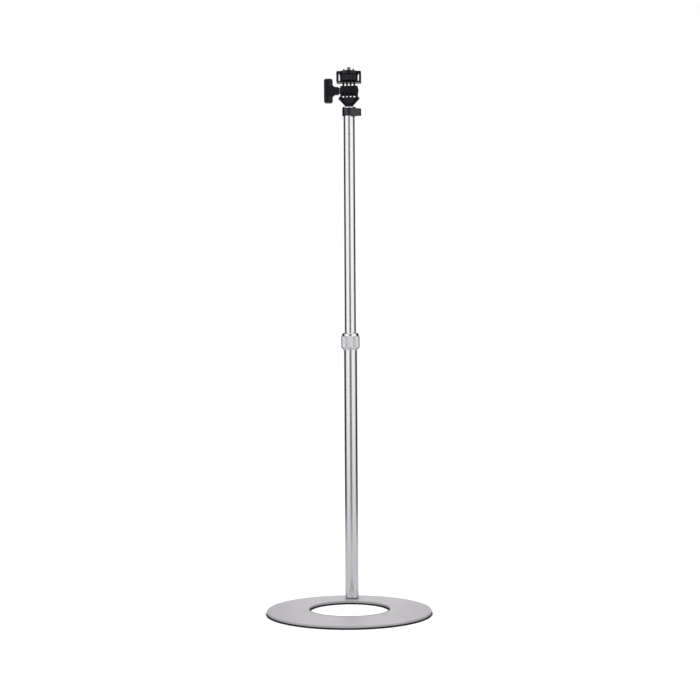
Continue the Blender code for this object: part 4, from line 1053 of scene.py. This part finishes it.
def make_cradle(stand):
    """Yoke with a window for the wheel, a round platform with two pips, and four fingers."""
    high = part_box("cradle")[1]
    width = high.x
    roof_top = high.z - PIP_HEIGHT - stand.hinge_z
    corners = (CRADLE_CORNER / 2, CRADLE_CORNER / 2, CRADLE_CORNER, CRADLE_CORNER)
    yoke = shown(prism("yoke", box_outline(-width, width, CRADLE_RISE, roof_top, corners, 8),
                       -YOKE_HALF_DEPTH, YOKE_HALF_DEPTH, "Y"))
    inside = width - CRADLE_SIDE
    window = box_outline(-inside, inside, CRADLE_RISE + CRADLE_FLOOR, roof_top - CRADLE_ROOF,
                         WINDOW_CORNER)
    combine(yoke, prism("yoke_window", window, -width, width, "Y"))
    ease_edges(yoke, THICK_MOULD_EDGE)
    bore = lathe("yoke_bore", box_outline(0.0, SCREW_BORE, 0.0, 2 * roof_top), SMALL_STEPS)
    combine(yoke, moved(bore, z=CRADLE_RISE + CRADLE_FLOOR * 2))
    disc = box_outline(SCREW_BORE, PLATFORM_RADIUS, roof_top - PLATFORM_THICK, roof_top,
                       (CRISP, FULL, FULL, CRISP))
    pieces = [made_plain(yoke), turned("disc", disc, TUBE_STEPS)]
    root = CRADLE_RISE + CRADLE_FLOOR / 2
    pieces.append(finger_row(stand, "cradle_fingers", root, FINGER_THICK / 2, 4))
    for side in (-1, 1):
        pip = turned("pip", eased([
            (0.0, roof_top - PIP_FOOT), (PIP_FOOT, roof_top - PIP_FOOT), (PIP_FOOT, roof_top),
            (PIP_TIP, roof_top + PIP_HEIGHT, PIP_TIP_ROUND), (0.0, roof_top + PIP_HEIGHT)]), PIP_STEPS)
        moved(pip.data, side * PIP_REACH_X, -PIP_REACH_Y)
        pieces.append(pip)
    stand.dress(joined("tilt_cradle", pieces), "cradle", "cradle", "black_plastic", z=stand.hinge_z)

    low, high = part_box("platform_pad")
    radius = high.x
    groove = high.z - (high.z - low.z) * PAD_GROOVE_SHARE
    spacing = (radius - PAD_RING_BORE) / PAD_RIBS
    levels = ((high.z, PAD_RIB_ROUND), (high.z, PAD_RIB_ROUND),
              (groove, PAD_GROOVE_ROUND), (groove, PAD_GROOVE_ROUND))
    ribs = [(radius - (number + share) * spacing, *level)
            for number in range(PAD_RIBS) for share, level in zip(PAD_RIB_SHARES, levels)]
    pad = turned("grip_ring", eased(
        [(PAD_RING_BORE, low.z), (radius, low.z, HAIR)] + ribs[:-1]
        + [(PAD_RING_BORE, groove)], 3), TUBE_STEPS)
    stand.dress(pad, "platform_pad", "cradle", "black_rubber")


def make_wheel(stand):
    low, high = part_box("thumb_wheel")
    middle = (low.z + high.z) / 2
    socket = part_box("camera_screw")[1].x + SLIP
    drum = turned("drum", eased([
        (0.0, low.z), (high.x, low.z, WHEEL_EDGE), (high.x, high.z, WHEEL_EDGE),
        (socket, high.z, LIGHT), (socket, middle), (0.0, middle)], 6), WHEEL_FLUTES * FLUTE_STEPS)
    wheel = grown("screw_wheel", flute_tree(), {
        "Radius": high.x, "Count": WHEEL_FLUTES, "Half width": FLUTE_SHARE, "Depth": FLUTE_DEPTH,
        "Finish": stand.finishes["black_plastic"]}, drum)
    stand.dress(wheel, "thumb_wheel", "wheel", "black_plastic")

    low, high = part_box("camera_screw")
    root = high.x - THREAD_DEPTH
    core = turned("core", eased([
        (0.0, low.z), (root, low.z), (root, high.z - SCREW_TIP / 3, CRISP),
        (root - SCREW_TIP / 3, high.z, LIGHT), (0.0, high.z)], 4), SMALL_STEPS)
    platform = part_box("cradle")[1].z - PIP_HEIGHT - PLATFORM_THICK
    thread = grown("thread", thread_tree(), {
        "Root radius": root, "Foot": platform, "Pitch": THREAD_PITCH,
        "Turns": (high.z - SCREW_TIP - platform) / THREAD_PITCH, "Depth": THREAD_DEPTH,
        "Finish": stand.finishes["screw_steel"]})
    mark_edges(thread.data)
    stand.dress(joined("camera_thread", [core, thread]), "camera_screw", "wheel", "screw_steel")


# Studio pieces

def stage_piece(name, bm):
    """A staged object with a material of its own, and that material's tree."""
    piece = shown(poured(bm, name))
    paper = bpy.data.materials.new(name)
    paper.use_nodes = True
    piece.data.materials.append(paper)
    return piece, paper.node_tree


def light_mix(tree, share, first, second, output="Material Output"):
    """End the tree with the share of the second shader over the first."""
    fill(tree, tree.nodes[output], {
        "Surface": add_node(tree, "ShaderNodeMixShader", {0: share, 1: first, 2: second})})


def card(name, start_deg, end_deg, levels, middle):
    """Upright curved card that only gloss sees, between two azimuths from the camera's side."""
    heights = ((0.0, 0.0), (CARD_FADE, 1.0), (CARD_HEIGHT, 1.0))
    bm = bmesh.new()
    glow_layer = bm.verts.layers.float.new("glow")
    cover_layer = bm.verts.layers.float.new("cover")
    turns = arc(start_deg + CAMERA_AZIMUTH_DEG, end_deg + CAMERA_AZIMUTH_DEG, CARD_STEPS)
    columns = []
    for step, (cosine, sine) in enumerate(turns):
        place = (middle[0] + CARD_RADIUS * sine, middle[1] - CARD_RADIUS * cosine)
        column = [bm.verts.new((*place, height)) for height, cover in heights]
        for vert, (height, cover) in zip(column, heights):
            vert[glow_layer] = levels[0] + (levels[1] - levels[0]) * step / CARD_STEPS
            vert[cover_layer] = cover
        columns.append(column)
    for left, right in zip(columns, columns[1:]):
        for row in range(len(heights) - 1):
            bm.faces.new((left[row], right[row], right[row + 1], left[row + 1]))
    piece, tree = stage_piece(name, bm)
    level, cover = (add_node(tree, "ShaderNodeAttribute", attribute_name=mark).outputs["Fac"]
                    for mark in ("glow", "cover"))
    glow = add_node(tree, "ShaderNodeEmission", {"Color": CARD_COLOR, "Strength": level})
    light_mix(tree, cover, add_node(tree, "ShaderNodeBsdfTransparent"), glow)
    for ray in ("camera", "diffuse", "transmission", "volume_scatter", "shadow"):
        setattr(piece, "visible_" + ray, False)


def direct_rays(tree):
    """1 for the camera's rays, and 1 for the glossy and transmitted ones."""
    path = add_node(tree, "ShaderNodeLightPath").outputs
    return Term(tree, path["Is Camera Ray"]), arithmetic(
        tree, "MAXIMUM", path["Is Glossy Ray"], path["Is Transmission Ray"])


def make_floor():
    """Pale floor that glows white but where the stand shades it, darkest where they touch."""
    bm = bmesh.new()
    bmesh.ops.create_circle(bm, cap_ends=True, segments=96, radius=FLOOR_RADIUS)
    tree = stage_piece("studio_floor", bm)[1]
    camera, glossy = direct_rays(tree)
    place = add_node(tree, "ShaderNodeVectorMath", {
        0: add_node(tree, "ShaderNodeTexCoord").outputs["Object"]}, operation="LENGTH")
    far = ramp_between(tree, place.outputs["Value"], 0.0, FAR_FLOOR) * GLOW_IN_GLOSS
    nearby = add_node(tree, "ShaderNodeAmbientOcclusion", {"Distance": SHADOW_REACH}, samples=8)
    open_floor = ramp_between(tree, nearby.outputs["AO"], *SHADOW_FADES)
    seen = blend(tree, FLOOR_COLOR, FLOOR_IN_GLOSS, glossy)
    paper = fill(tree, tree.nodes["Principled BSDF"], {
        "Base Color": blend(tree, CONTACT_SHADOW, seen, open_floor), "Roughness": FLOOR_ROUGHNESS,
        "Specular IOR Level": FLOOR_SPECULAR})
    glow = add_node(tree, "ShaderNodeEmission", {"Color": WHITE, "Strength": FLOOR_GLOW})
    light_mix(tree, (camera * GLOW_SEEN + glossy * far) * open_floor, paper, glow)


def make_world():
    """Even soft light for matt surfaces, and white for what sees the background."""
    world = bpy.data.worlds.new("studio_room")
    bpy.context.scene.world = world
    world.use_nodes = True
    tree = world.node_tree
    room = fill(tree, tree.nodes["Background"], {"Color": WHITE, "Strength": ROOM_LEVEL})
    camera, glossy = direct_rays(tree)
    light_mix(tree, camera.math("MAXIMUM", glossy), room,
              add_node(tree, "ShaderNodeBackground", {"Color": WHITE}), "World Output")


def lamp(name, place, target, size, power):
    data = bpy.data.lights.new(name, "AREA")
    data.shape = "RECTANGLE"
    data.size, data.size_y = size
    data.energy = power
    light = shown(data)
    light.location = place
    light.rotation_euler = (Vector(target) - Vector(place)).to_track_quat("-Z", "Y").to_euler()
    light.visible_glossy = False


def make_studio(middle, height):
    make_world()
    make_floor()
    aim = (*middle, height * AIM_SHARE)
    lamp("left_softbox", (-2.0, -1.9, 1.5), aim, size=(1.2, 1.8), power=26.0)
    lamp("right_softbox", (2.2, -1.7, 1.4), aim, size=(1.2, 1.8), power=22.0)
    lamp("top_softbox", (0.0, 0.2, 2.8), (0.0, 0.0, 0.0), size=(2.4, 2.4), power=30.0)
    lamp("rear_softbox", (0.3, 2.6, 1.8), aim, size=(1.6, 1.4), power=16.0)
    card("camera_card", -18.0, 17.0, (0.17, 0.17), middle)
    for side in (-1.0, 1.0):
        card("shoulder_card", side * 78.0, side * 98.0, (0.75, 0.0), middle)
        card("side_card", side * 98.0, side * 134.0, (0.01, 0.01), middle)
        card("corner_card", side * 134.0, side * 168.0, (0.01, 0.70), middle)


def make_camera():
    data = bpy.data.cameras.new("photo_camera")
    data.sensor_width = SENSOR_WIDTH
    data.lens = SENSOR_WIDTH * FOCAL_PIXELS / IMAGE_SIDE
    data.shift_x = (IMAGE_SIDE / 2 - CENTRE_COLUMN) / IMAGE_SIDE
    data.clip_end = 100.0
    camera = shown(data)
    azimuth, upright, roll = (Matrix.Rotation(math.radians(angle), 4, axis) for angle, axis in (
        (CAMERA_AZIMUTH_DEG, "Z"), (90.0, "X"), (-CAMERA_ROLL_DEG, "Z")))
    place = Matrix.Translation((0.0, -CAMERA_DISTANCE, CAMERA_HEIGHT))
    camera.matrix_world = azimuth @ place @ upright @ roll
    bpy.context.scene.camera = camera


# The whole scene

def coat_own_nodes(nodes, subparts, finishes):
    """Finishes for the part's own nodes that stay as they are."""
    for subpart in subparts:
        node = nodes[subpart["node"]]
        if not node.hide_render:
            node.data.materials.clear()
            node.data.materials.append(finishes[subpart["material_slot"]])


def main():
    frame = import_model()
    cad_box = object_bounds()
    bpy.context.scene.view_settings.view_transform = "Standard"
    stand = Stand()
    make_camera()
    make_studio((0.0, stand.mast_y), cad_box[1].z)
    for make in (make_base, make_tubes, make_lock_nut, make_cap, make_clip, make_head,
                 make_hinge_bolt, make_tee_knob, make_cradle, make_wheel):
        make(stand)
    coat_own_nodes(frame["nodes"], frame["record"]["subparts"], stand.finishes)


main()
